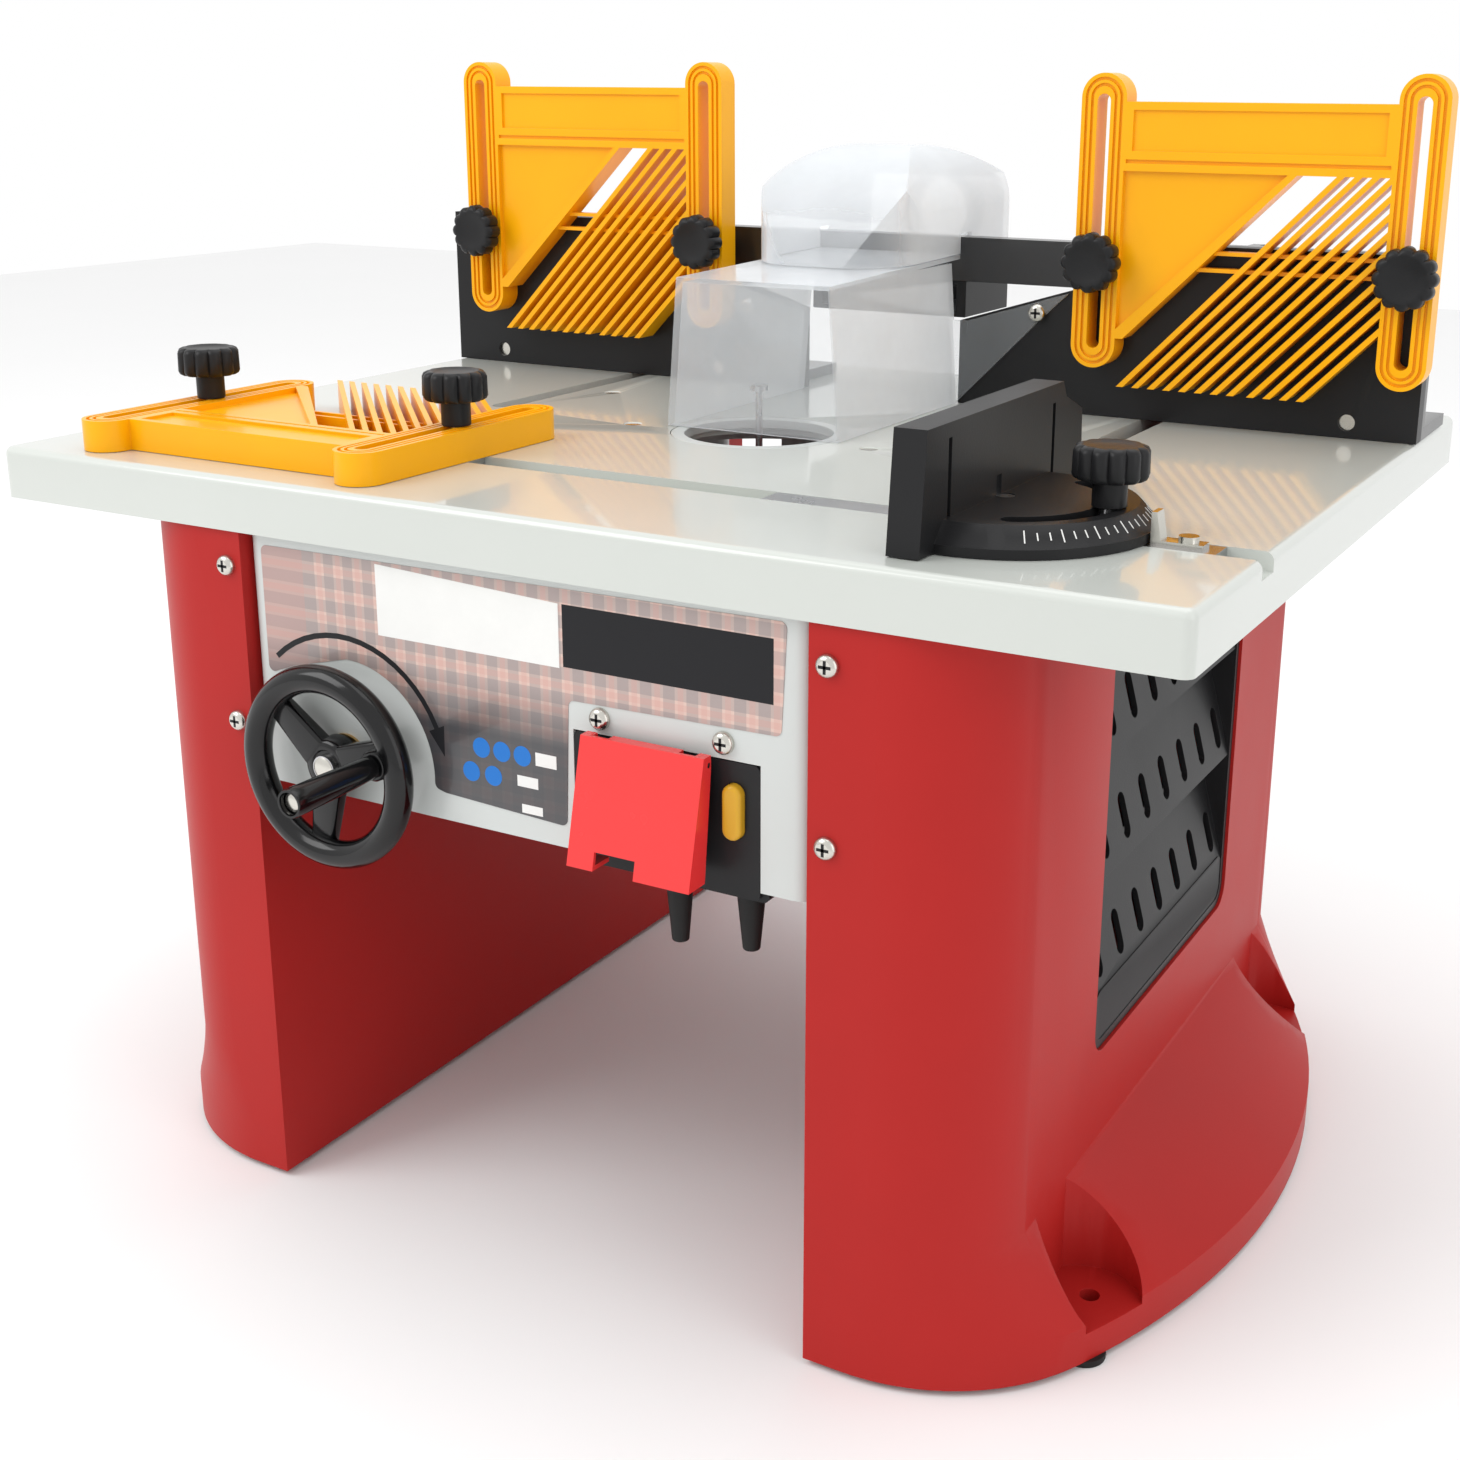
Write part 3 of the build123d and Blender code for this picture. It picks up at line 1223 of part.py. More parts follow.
# ============================ featherboards =======================================
def featherboard(base):
    """Sprung board: two slotted ears, a bar between them and twelve leaning fingers.

    The plane's x runs from the left ear to the right one, its y towards the finger tips.
    """
    with BuildPart() as board:
        with BuildSketch(base):
            with Locations((0, EAR_LEN / 2), (EAR_PITCH, EAR_LEN / 2)):
                SlotOverall(EAR_LEN, EAR_W, rotation=90)
            with Locations((EAR_PITCH / 2, 31)):
                Rectangle(EAR_PITCH - EAR_W + 4, 34)
        extrude(amount=BOARD_T)
        # recessed web with its leaning rim
        with BuildSketch(base.offset(3)):
            with BuildLine():
                Polyline((10, 46), (100, 46), (15, 129), (10, 129), close=True)
            make_face()
        extrude(amount=BOARD_T - 6)
        with BuildSketch(base):
            with BuildLine():
                Polyline((98, 46), (102.5, 46), (16, 133), (10, 133), (10, 130), close=True)
            make_face()
        extrude(amount=BOARD_T)
        # fingers, cut level at their tips
        reach = FINGER_W / cos(radians(FINGER_DEG))
        with BuildSketch(base):
            for number in range(12):
                tip = 14 + 8.4 * number + (2.0 if number > 7 else 0.0)
                root_y = 46 if number < 4 else max(46, 158 - (EAR_PITCH - 11 - tip) * 1.04)
                root_x = tip + (158 - root_y) / 1.04
                with BuildLine():
                    Polyline((tip, 158), (tip + reach, 158), (root_x + reach, root_y),
                             (root_x, root_y), close=True)
                make_face()
        extrude(amount=BOARD_T)
        # two thin ties across the fingers
        with BuildSketch(base.offset(BOARD_T / 2 - 3)):
            for level, start in ((86.5, 60), (95, 52)):
                with BuildLine():
                    Polyline((start, level), (EAR_PITCH - 10, level), (EAR_PITCH - 10, level + 2),
                             (start, level + 2), close=True)
                make_face()
        extrude(amount=6)
        for depth in (0, BOARD_T - 1.5):
            with BuildSketch(base.offset(depth)):
                with Locations((EAR_PITCH / 2, 28)):
                    Rectangle(EAR_PITCH - EAR_W - 8, 20)
                with Locations((EAR_PITCH / 2, 43.2)):
                    Rectangle(EAR_PITCH - EAR_W - 2, 1.8)
            extrude(amount=1.5, mode=Mode.SUBTRACT)
            with BuildSketch(base.offset(depth)):
                for outer in (20, 14):
                    with Locations((0, EAR_LEN / 2), (EAR_PITCH, EAR_LEN / 2)):
                        SlotOverall(EAR_LEN - EAR_W + outer, outer, rotation=90)
                    with Locations((0, EAR_LEN / 2), (EAR_PITCH, EAR_LEN / 2)):
                        SlotOverall(EAR_LEN - EAR_W + outer - 3, outer - 3, rotation=90, mode=Mode.SUBTRACT)
            extrude(amount=1.5, mode=Mode.SUBTRACT)
        with BuildSketch(base):
            with Locations((0, EAR_LEN / 2), (EAR_PITCH, EAR_LEN / 2)):
                SlotOverall(EAR_LEN - 20.5, BOARD_SLOT_W, rotation=90)
        extrude(amount=BOARD_T, mode=Mode.SUBTRACT)
    return board.part


for side, top in (("left", 540.0), ("right", 535.0)):
    corner = (BOARD_X[side] - EAR_PITCH / 2, FENCE_Y - BOARD_T - 0.1, top)
    base = Plane(corner, x_dir=(1, 0, 0), z_dir=(0, 1, 0))
    keep(featherboard(base), f"{side}_featherboard")

table_base = Plane((TABLE_BOARD_X, TABLE_BOARD_Y, TABLE_Z + GAP), x_dir=(1, 0, 0), z_dir=(0, 0, 1))
keep(featherboard(table_base), "table_featherboard")

with BuildPart() as table_slide:
    bar_z = TABLE_Z - MITRE_DEPTH + 0.15
    with BuildSketch(Plane.XY.offset(bar_z)):
        with Locations((TABLE_BOARD_X + EAR_PITCH / 2, MITRE_Y)):
            Rectangle(EAR_PITCH + 20, MITRE_W - 0.2)
    extrude(amount=7.7)
    with BuildSketch(Plane.XY.offset(bar_z)):
        with Locations((TABLE_BOARD_X, MITRE_Y), (TABLE_BOARD_X + EAR_PITCH, MITRE_Y)):
            Circle(BOLT_R)
    extrude(amount=TABLE_Z + GAP + BOARD_T + 20 - bar_z)
keep(table_slide.part, "table_slide")

# ============================ mitre gauge =========================================
with BuildPart() as mitre_bar:
    with BuildSketch(Plane.XY.offset(bar_z)):
        with Locations((180, MITRE_Y)):
            Rectangle(200, MITRE_W - 0.2)
    extrude(amount=7.7)
    for x, top in ((GAUGE_X, GAUGE_PLATE_Z - 0.3), (STUD_X, GAUGE_PLATE_Z + 21)):
        with BuildSketch(Plane.XY.offset(bar_z)):
            with Locations((x, MITRE_Y)):
                Circle(4)
        extrude(amount=top - bar_z)
keep(mitre_bar.part, "mitre_bar")

with BuildPart() as mitre_pointer:
    with BuildSketch(Plane.XZ.offset(-MITRE_Y + 4)):
        with BuildLine():
            Polyline((GAUGE_X + GAUGE_R + 0.8, bar_z + 7.7), (274, bar_z + 7.7), (274, bar_z + 9.7),
                     (GAUGE_X + GAUGE_R + 5, bar_z + 9.7), (GAUGE_X + GAUGE_R + 3, GAUGE_PLATE_Z + 1),
                     (GAUGE_X + GAUGE_R + 0.8, GAUGE_PLATE_Z + 1), close=True)
        make_face()
    extrude(amount=-8)
    with BuildSketch(Plane.XY.offset(bar_z + 9.7)):
        with Locations((267, MITRE_Y)):
            Circle(4)
    extrude(amount=2.5)
keep(mitre_pointer.part, "mitre_pointer")

with BuildPart() as gauge_body:
    low = TABLE_Z + GAP
    pivot = Plane((GAUGE_X, MITRE_Y, low))
    # half disc with a bevelled scale rim
    with BuildSketch(pivot):
        Circle(GAUGE_R)
        with Locations((-GAUGE_R, 0)):
            Rectangle(2 * GAUGE_R - 8, 2 * GAUGE_R, mode=Mode.SUBTRACT)
    extrude(amount=4)
    with BuildSketch(pivot.offset(4)):
        Circle(GAUGE_R - 0.5)
        with Locations((-GAUGE_R, 0)):
            Rectangle(2 * GAUGE_R - 8, 2 * GAUGE_R, mode=Mode.SUBTRACT)
    with BuildSketch(pivot.offset(GAUGE_PLATE_Z - low)):
        Circle(GAUGE_R - 8)
        with Locations((-GAUGE_R, 0)):
            Rectangle(2 * GAUGE_R - 8, 2 * GAUGE_R, mode=Mode.SUBTRACT)
    loft()
    # upright face with a long slot, a block at its near end and a step at its far end
    with BuildSketch(sideways(GAUGE_X - 17)):
        with BuildLine():
            Polyline((-213, low + 0.3), (-44, low + 0.3), (-46, 392), (-66, 400), (-70, 407),
                     (-208, 407), close=True)
        make_face()
        with Locations((-187, 384), (-80, 382)):
            Rectangle(3, 34, mode=Mode.SUBTRACT)
    extrude(amount=14)
    with BuildSketch(pivot):
        Circle(4.05)
    extrude(amount=20, mode=Mode.SUBTRACT)
    # arc slot for the clamp stud
    reach = STUD_X - GAUGE_X
    end = Vector(reach * cos(radians(64)), reach * sin(radians(64)))
    with BuildSketch(pivot):
        Circle(reach + 4.4)
        Circle(reach - 4.4, mode=Mode.SUBTRACT)
        with BuildLine():
            Polyline((0, 0), (2 * end.X, -2 * end.Y), (3 * reach, 0), (2 * end.X, 2 * end.Y), close=True)
        make_face(mode=Mode.INTERSECT)
        with Locations((end.X, end.Y), (end.X, -end.Y)):
            Circle(4.4)
    extrude(amount=20, mode=Mode.SUBTRACT)
keep(gauge_body.part, "gauge_body")

mitre_knob_plane = Plane((STUD_X, MITRE_Y, GAUGE_PLATE_Z + 0.2))
keep(knob(mitre_knob_plane, 11, 14, 4 + KNOB_FIT), "mitre_knob")
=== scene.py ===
"""Looks for the bench-top router table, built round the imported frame.

Every length is in metres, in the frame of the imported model: X to the operator's right,
Y to the rear, Z up from the floor.
"""
import json
from math import cos, pi, radians, sin

import bmesh
import bpy
from bpy.props import FloatProperty, FloatVectorProperty, PointerProperty
from mathutils import Matrix, Vector


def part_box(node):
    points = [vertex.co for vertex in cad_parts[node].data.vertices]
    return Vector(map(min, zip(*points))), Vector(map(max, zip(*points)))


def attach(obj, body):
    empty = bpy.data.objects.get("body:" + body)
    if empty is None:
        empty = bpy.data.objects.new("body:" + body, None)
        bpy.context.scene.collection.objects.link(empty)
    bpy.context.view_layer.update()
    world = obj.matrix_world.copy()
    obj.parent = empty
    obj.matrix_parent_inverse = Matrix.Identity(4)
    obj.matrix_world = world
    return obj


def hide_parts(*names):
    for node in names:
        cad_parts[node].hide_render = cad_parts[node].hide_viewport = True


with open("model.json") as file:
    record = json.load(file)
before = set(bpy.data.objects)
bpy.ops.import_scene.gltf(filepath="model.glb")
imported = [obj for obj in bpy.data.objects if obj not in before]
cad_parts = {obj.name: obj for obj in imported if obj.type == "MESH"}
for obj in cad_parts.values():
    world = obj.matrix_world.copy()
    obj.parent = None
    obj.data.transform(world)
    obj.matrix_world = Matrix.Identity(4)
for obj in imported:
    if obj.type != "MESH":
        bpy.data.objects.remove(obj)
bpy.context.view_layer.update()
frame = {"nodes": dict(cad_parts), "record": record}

bl_info = {
    "name": "Router Table Finisher",
    "version": (1, 0, 0),
    "blender": (4, 5, 0),
    "location": "View3D > Sidebar > Router Table",
    "description": "Materials and fine pieces for a bench-top router table",
    "category": "Object",
}

MM = 0.001
NODE_SLOT = {entry["node"]: entry["material_slot"] for entry in frame["record"]["subparts"]}


# ------------------------------------------------------------------ properties
def colour(name, text, value):
    return FloatVectorProperty(name=name, description=text, default=value, subtype="COLOR",
                               size=3, min=0.0, max=1.0)


def length(name, text, value):
    return FloatProperty(name=name, description=text, default=value, unit="LENGTH", subtype="DISTANCE")


class RouterTableColours(bpy.types.PropertyGroup):
    enamel: colour("Table enamel", "Gloss enamel of the table", (0.56, 0.585, 0.55))
    panel: colour("Panel enamel", "Grey enamel of the front panel", (0.56, 0.585, 0.57))
    red: colour("Leg plastic", "Red plastic of the two legs", (0.41, 0.017, 0.015))
    black: colour("Black plastic", "Satin black mouldings", (0.012, 0.012, 0.013))
    yellow: colour("Featherboard plastic", "Yellow of the featherboards", (0.93, 0.42, 0.002))
    flap: colour("Flap plastic", "Red of the stop flap", (0.78, 0.035, 0.035))
    reset: colour("Reset button", "Ochre of the reset button", (0.62, 0.34, 0.02))
    clear: colour("Clear plastic", "Tint of the guard and hood", (0.78, 0.81, 0.84))
    zinc: colour("Zinc plate", "Plated screws and bolts", (0.62, 0.60, 0.55))
    steel: colour("Steel", "Bright steel parts", (0.52, 0.52, 0.53))


class RouterTableSizes(bpy.types.PropertyGroup):
    grain: length("Grain depth", "Depth of the moulded grain", 0.00012)
    floor: length("Floor size", "Side of the floor square", 8.0)


# ------------------------------------------------------------------ mesh helpers
def finish_mesh(bm, name, merge=True, smooth=True, angle=35.0):
    """Turns a bmesh into an object at the origin, normals outwards, sharp where it turns hard."""
    if merge:
        bmesh.ops.remove_doubles(bm, verts=bm.verts, dist=1e-6)
    bmesh.ops.recalc_face_normals(bm, faces=bm.faces)
    mesh = bpy.data.meshes.new(name)
    bm.to_mesh(mesh)
    bm.free()
    for face in mesh.polygons:
        face.use_smooth = smooth
    if smooth:
        mesh.set_sharp_from_angle(angle=radians(angle))
    piece = bpy.data.objects.new(name, mesh)
    bpy.context.scene.collection.objects.link(piece)
    return piece


def dress(piece, slot, body, *replaced):
    """Gives a piece the material for a record slot, puts it in its body and hides the nodes it stands for.
    """
    piece.data.materials.clear()
    piece.data.materials.append(material_for(slot))
    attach(piece, body)
    if replaced:
        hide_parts(*replaced)
    return piece


def body_holding(node):
    """Name of the body that a node belongs to."""
    for name, nodes in frame["record"]["behaviour"]["bodies"].items():
        if node in nodes:
            return name
    raise ValueError("no body holds " + node)


def centre_of(node):
    low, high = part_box(node)
    return (Vector(low) + Vector(high)) / 2


def spin_profile(bm, points, axis_point, axis, steps=48):
    """Spins an open profile a full turn about an axis; points are Vectors."""
    verts = [bm.verts.new(point) for point in points]
    edges = [bm.edges.new(pair) for pair in zip(verts, verts[1:])]
    bmesh.ops.spin(bm, geom=verts + edges, cent=axis_point, axis=axis, dvec=(0, 0, 0),
                   angle=2 * pi, steps=steps, use_merge=True, use_duplicate=False)


def add_bevel(piece, width, segments=2, angle=30.0):
    rounding = piece.modifiers.new("edge_rounding", "BEVEL")
    rounding.width = width
    rounding.segments = segments
    rounding.limit_method = "ANGLE"
    rounding.angle_limit = radians(angle)
    rounding.harden_normals = True
    return rounding


# ------------------------------------------------------------------ shader groups
def new_group(name, inputs, outputs):
    """Empty shader group; inputs are (name, socket type, default), outputs (name, socket type)."""
    group = bpy.data.node_groups.new(name, "ShaderNodeTree")
    for label, kind, default in inputs:
        socket = group.interface.new_socket(label, in_out="INPUT", socket_type=kind)
        socket.default_value = default
    for label, kind in outputs:
        group.interface.new_socket(label, in_out="OUTPUT", socket_type=kind)
    return group, group.nodes.new("NodeGroupInput"), group.nodes.new("NodeGroupOutput")


def build_grain_group():
    """Fine moulded or sprayed texture: a bump normal and a noise mask."""
    group, given, result = new_group(
        "moulded_grain",
        [("Scale", "NodeSocketFloat", 900.0), ("Depth", "NodeSocketFloat", 0.0001),
         ("Strength", "NodeSocketFloat", 0.3)],
        [("Normal", "NodeSocketVector"), ("Mask", "NodeSocketFloat")])
    coords = group.nodes.new("ShaderNodeTexCoord")
    noise = group.nodes.new("ShaderNodeTexNoise")
    noise.inputs["Detail"].default_value = 3.0
    bump = group.nodes.new("ShaderNodeBump")
    group.links.new(coords.outputs["Object"], noise.inputs["Vector"])
    group.links.new(given.outputs["Scale"], noise.inputs["Scale"])
    group.links.new(noise.outputs["Fac"], bump.inputs["Height"])
    group.links.new(given.outputs["Depth"], bump.inputs["Distance"])
    group.links.new(given.outputs["Strength"], bump.inputs["Strength"])
    group.links.new(bump.outputs["Normal"], result.inputs["Normal"])
    group.links.new(noise.outputs["Fac"], result.inputs["Mask"])
    return group


def build_drift_group():
    """Slow change of tone and roughness over a surface, as from handling and dust."""
    group, given, result = new_group(
        "tone_drift",
        [("Colour", "NodeSocketColor", (0.5, 0.5, 0.5, 1.0)), ("Amount", "NodeSocketFloat", 0.08),
         ("Scale", "NodeSocketFloat", 9.0), ("Roughness", "NodeSocketFloat", 0.4),
         ("Spread", "NodeSocketFloat", 0.08)],
        [("Colour", "NodeSocketColor"), ("Roughness", "NodeSocketFloat")])
    coords = group.nodes.new("ShaderNodeTexCoord")
    noise = group.nodes.new("ShaderNodeTexNoise")
    noise.inputs["Detail"].default_value = 5.0
    noise.inputs["Roughness"].default_value = 0.62
    centre = group.nodes.new("ShaderNodeMath")
    centre.operation = "SUBTRACT"
    centre.inputs[1].default_value = 0.5
    tone = group.nodes.new("ShaderNodeMath")
    tone.operation = "MULTIPLY_ADD"
    tone.inputs[2].default_value = 1.0
    shade = group.nodes.new("ShaderNodeVectorMath")
    shade.operation = "SCALE"
    rough = group.nodes.new("ShaderNodeMath")
    rough.operation = "MULTIPLY_ADD"
    group.links.new(coords.outputs["Object"], noise.inputs["Vector"])
    group.links.new(given.outputs["Scale"], noise.inputs["Scale"])
    group.links.new(noise.outputs["Fac"], centre.inputs[0])
    group.links.new(centre.outputs[0], tone.inputs[0])
    group.links.new(given.outputs["Amount"], tone.inputs[1])
    group.links.new(given.outputs["Colour"], shade.inputs[0])
    group.links.new(tone.outputs[0], shade.inputs["Scale"])
    group.links.new(centre.outputs[0], rough.inputs[0])
    group.links.new(given.outputs["Spread"], rough.inputs[1])
    group.links.new(given.outputs["Roughness"], rough.inputs[2])
    group.links.new(shade.outputs["Vector"], result.inputs["Colour"])
    group.links.new(rough.outputs[0], result.inputs["Roughness"])
    return group


GROUPS = {}


def shared_group(name):
    """The named shader group, built the first time it is asked for."""
    builders = {"moulded_grain": build_grain_group, "tone_drift": build_drift_group}
    if name not in GROUPS:
        GROUPS[name] = builders[name]()
    return GROUPS[name]


# ------------------------------------------------------------------ materials
class Shader:
    """A material with its Principled shader and short ways to feed it."""

    def __init__(self, name):
        self.material = bpy.data.materials.new(name)
        self.material.use_nodes = True
        self.tree = self.material.node_tree
        self.surface = self.tree.nodes["Principled BSDF"]

    def node(self, kind, **settings):
        made = self.tree.nodes.new(kind)
        for key, value in settings.items():
            setattr(made, key, value)
        return made

    def link(self, source, target):
        self.tree.links.new(source, target)

    def set(self, socket, value):
        self.surface.inputs[socket].default_value = value

    def group(self, name):
        made = self.node("ShaderNodeGroup")
        made.node_tree = shared_group(name)
        return made

    def drift(self, tint, amount, scale, roughness, spread):
        """Tone and roughness that wander; returns the group for further use."""
        made = self.group("tone_drift")
        made.inputs["Colour"].default_value = (*tint, 1.0)
        made.inputs["Amount"].default_value = amount
        made.inputs["Scale"].default_value = scale
        made.inputs["Roughness"].default_value = roughness
        made.inputs["Spread"].default_value = spread
        self.link(made.outputs["Colour"], self.surface.inputs["Base Color"])
        self.link(made.outputs["Roughness"], self.surface.inputs["Roughness"])
        return made

    def grain(self, scale, depth, strength):
        made = self.group("moulded_grain")
        made.inputs["Scale"].default_value = scale
        made.inputs["Depth"].default_value = depth
        made.inputs["Strength"].default_value = strength
        self.link(made.outputs["Normal"], self.surface.inputs["Normal"])
        return made


def gloss_enamel(name, tint, coat):
    """Baked enamel over metal: a slight orange peel under a clear gloss."""
    shader = Shader(name)
    shader.drift(tint, 0.07, 7.0, 0.30, 0.10)
    shader.grain(420.0, 0.00006, 0.25)
    shader.set("Coat Weight", coat)
    shader.set("Coat Roughness", 0.06)
    return shader.material


def moulded_plastic(name, tint, roughness, grain_scale, strength, coat=0.0, specular=0.25):
    """Injection moulding: spark-eroded grain with wandering sheen."""
    shader = Shader(name)
    shader.drift(tint, 0.16, 11.0, roughness, 0.14)
    sizes = bpy.context.scene.router_table_sizes
    shader.grain(grain_scale, sizes.grain, strength)
    shader.set("Coat Weight", coat)
    shader.set("Coat Roughness", 0.12)
    shader.set("IOR", 1.49)
    shader.set("Specular IOR Level", specular)
    return shader.material


def turned_metal(name, tint, roughness, stretch):
    """Metal with fine drawn or turned lines along one axis."""
    shader = Shader(name)
    shader.drift(tint, 0.18, 26.0, roughness, 0.18)
    shader.set("Metallic", 1.0)
    coords = shader.node("ShaderNodeTexCoord")
    mapping = shader.node("ShaderNodeMapping")
    mapping.inputs["Scale"].default_value = stretch
    lines = shader.node("ShaderNodeTexNoise")
    lines.inputs["Scale"].default_value = 300.0
    bump = shader.node("ShaderNodeBump")
    bump.inputs["Distance"].default_value = 0.00004
    bump.inputs["Strength"].default_value = 0.35
    shader.link(coords.outputs["Object"], mapping.inputs["Vector"])
    shader.link(mapping.outputs["Vector"], lines.inputs["Vector"])
    shader.link(lines.outputs["Fac"], bump.inputs["Height"])
    shader.link(bump.outputs["Normal"], shader.surface.inputs["Normal"])
    return shader.material


def clear_plastic(name, tint):
    """Clear moulded sheet: see-through face on, milky and bright along its edges and curves."""
    shader = Shader(name)
    shader.drift(tint, 0.12, 16.0, 0.10, 0.10)
    shader.set("Specular IOR Level", 0.6)
    coords = shader.node("ShaderNodeTexCoord")
    haze = shader.node("ShaderNodeTexNoise")
    haze.inputs["Scale"].default_value = 22.0
    haze.inputs["Detail"].default_value = 4.0
    slant = shader.node("ShaderNodeLayerWeight")
    slant.inputs["Blend"].default_value = 0.55
    body = shader.node("ShaderNodeMapRange")
    body.inputs["From Min"].default_value = 0.05
    body.inputs["From Max"].default_value = 0.95
    body.inputs["To Min"].default_value = 0.14
    body.inputs["To Max"].default_value = 0.72
    mottle = shader.node("ShaderNodeMapRange")
    mottle.inputs["To Min"].default_value = -0.06
    mottle.inputs["To Max"].default_value = 0.10
    total = shader.node("ShaderNodeMath", operation="ADD", use_clamp=True)
    bump = shader.node("ShaderNodeBump")
    bump.inputs["Distance"].default_value = 0.0002
    bump.inputs["Strength"].default_value = 0.12
    shader.link(coords.outputs["Object"], haze.inputs["Vector"])
    shader.link(slant.outputs["Facing"], body.inputs["Value"])
    shader.link(haze.outputs["Fac"], mottle.inputs["Value"])
    shader.link(body.outputs["Result"], total.inputs[0])
    shader.link(mottle.outputs["Result"], total.inputs[1])
    shader.link(total.outputs[0], shader.surface.inputs["Alpha"])
    shader.link(haze.outputs["Fac"], bump.inputs["Height"])
    shader.link(bump.outputs["Normal"], shader.surface.inputs["Normal"])
    return shader.material


def stripes(shader, axis_output, period, width, offset=0.0):
    """1 inside stripes of the given width and period along an axis, 0 between."""
    shift = shader.node("ShaderNodeMath", operation="ADD")
    shift.inputs[1].default_value = 10.0 * period + offset
    wrap = shader.node("ShaderNodeMath", operation="MODULO")
    wrap.inputs[1].default_value = period
    inside = shader.node("ShaderNodeMath", operation="LESS_THAN")
    inside.inputs[1].default_value = width
    shader.link(axis_output, shift.inputs[0])
    shader.link(shift.outputs[0], wrap.inputs[0])
    shader.link(wrap.outputs[0], inside.inputs[0])
    return inside.outputs[0]


def printed_tartan(name):
    """Printed label: a small grey and rose check that darkens towards its lower edge."""
    shader = Shader(name)
    coords = shader.node("ShaderNodeTexCoord")
    split = shader.node("ShaderNodeSeparateXYZ")
    shader.link(coords.outputs["Object"], split.inputs["Vector"])
    previous = None
    grey = (0.20, 0.19, 0.20)
    rose = (0.56, 0.26, 0.22)
    layers = [("X", 0.0112, 0.0056, grey, 0.42), ("Z", 0.0112, 0.0056, grey, 0.42),
              ("X", 0.0112, 0.0028, rose, 0.28), ("Z", 0.0112, 0.0028, rose, 0.28)]
    for number, (axis, period, width, tint, strength) in enumerate(layers):
        mask = stripes(shader, split.outputs[axis], period, width, 0.0021 * number)
        weight = shader.node("ShaderNodeMath", operation="MULTIPLY")
        weight.inputs[1].default_value = strength
        shader.link(mask, weight.inputs[0])
        mix = shader.node("ShaderNodeMix", data_type="RGBA")
        mix.inputs["A"].default_value = (0.62, 0.45, 0.39, 1.0)
        mix.inputs["B"].default_value = (*tint, 1.0)
        shader.link(weight.outputs[0], mix.inputs["Factor"])
        if previous is not None:
            shader.link(previous, mix.inputs["A"])
        previous = mix.outputs["Result"]
    shade = shader.node("ShaderNodeMapRange")
    shade.inputs["From Min"].default_value = 0.284
    shade.inputs["From Max"].default_value = 0.258
    shade.inputs["To Min"].default_value = 0.0
    shade.inputs["To Max"].default_value = 0.93
    shader.link(split.outputs["Z"], shade.inputs["Value"])
    dark = shader.node("ShaderNodeMix", data_type="RGBA")
    dark.inputs["B"].default_value = (0.030, 0.034, 0.040, 1.0)
    shader.link(shade.outputs["Result"], dark.inputs["Factor"])
    shader.link(previous, dark.inputs["A"])
    shader.link(dark.outputs["Result"], shader.surface.inputs["Base Color"])
    shader.set("Roughness", 0.28)
    shader.set("Coat Weight", 0.4)
    return shader.material


def flat_print(name, tint):
    """Printing ink: one tone with a little mottling."""
    shader = Shader(name)
    shader.drift(tint, 0.10, 60.0, 0.35, 0.05)
    shader.set("Specular IOR Level", 0.2)
    return shader.material


MATERIALS = {}


def material_for(slot):
    """The material of a record slot or of an extra finish, built once."""
    if slot in MATERIALS:
        return MATERIALS[slot]
    tones = bpy.context.scene.router_table_colours
    makers = {
        "table_enamel": lambda: gloss_enamel(slot, tones.enamel, 0.7),
        "grey_enamel": lambda: gloss_enamel(slot, tones.panel, 0.25),
        "black_enamel": lambda: gloss_enamel(slot, tones.black, 0.3),
        "red_plastic": lambda: moulded_plastic(slot, tones.red, 0.42, 850.0, 0.30, 0.03, 0.15),
        "black_plastic": lambda: moulded_plastic(slot, tones.black, 0.40, 1100.0, 0.35, 0.05, 0.22),
        "gloss_black": lambda: moulded_plastic(slot, (0.003, 0.003, 0.0035), 0.16, 500.0, 0.08, 0.25, 0.3),
        "yellow_plastic": lambda: moulded_plastic(slot, tones.yellow, 0.32, 700.0, 0.15, 0.12, 0.2),
        "flap_red": lambda: moulded_plastic(slot, tones.flap, 0.26, 600.0, 0.10, 0.5),
        "green_plastic": lambda: moulded_plastic(slot, (0.02, 0.25, 0.07), 0.3, 600.0, 0.1, 0.4),
        "button_yellow": lambda: moulded_plastic(slot, tones.reset, 0.34, 600.0, 0.15, 0.2),
        "rubber": lambda: moulded_plastic(slot, (0.014, 0.014, 0.014), 0.62, 1400.0, 0.5),
        "clear_plastic": lambda: clear_plastic(slot, tones.clear),
        "steel": lambda: turned_metal(slot, tones.steel, 0.28, (0.05, 1.0, 1.0)),
        "zinc": lambda: turned_metal(slot, tones.zinc, 0.24, (1.0, 1.0, 1.0)),
        "cast_aluminium": lambda: turned_metal(slot, (0.55, 0.55, 0.56), 0.45, (1.0, 1.0, 1.0)),
        "bronze": lambda: turned_metal(slot, (0.55, 0.36, 0.14), 0.34, (1.0, 1.0, 0.1)),
        "iron_core": lambda: turned_metal(slot, (0.16, 0.14, 0.13), 0.5, (1.0, 1.0, 0.02)),
        "label_print": lambda: printed_tartan(slot),
        "ink_white": lambda: flat_print(slot, (0.78, 0.78, 0.76)),
        "ink_black": lambda: flat_print(slot, (0.012, 0.012, 0.014)),
        "ink_blue": lambda: flat_print(slot, (0.02, 0.17, 0.55)),
        "ink_grey": lambda: flat_print(slot, (0.05, 0.055, 0.065)),
    }
    MATERIALS[slot] = makers[slot]()
    return MATERIALS[slot]


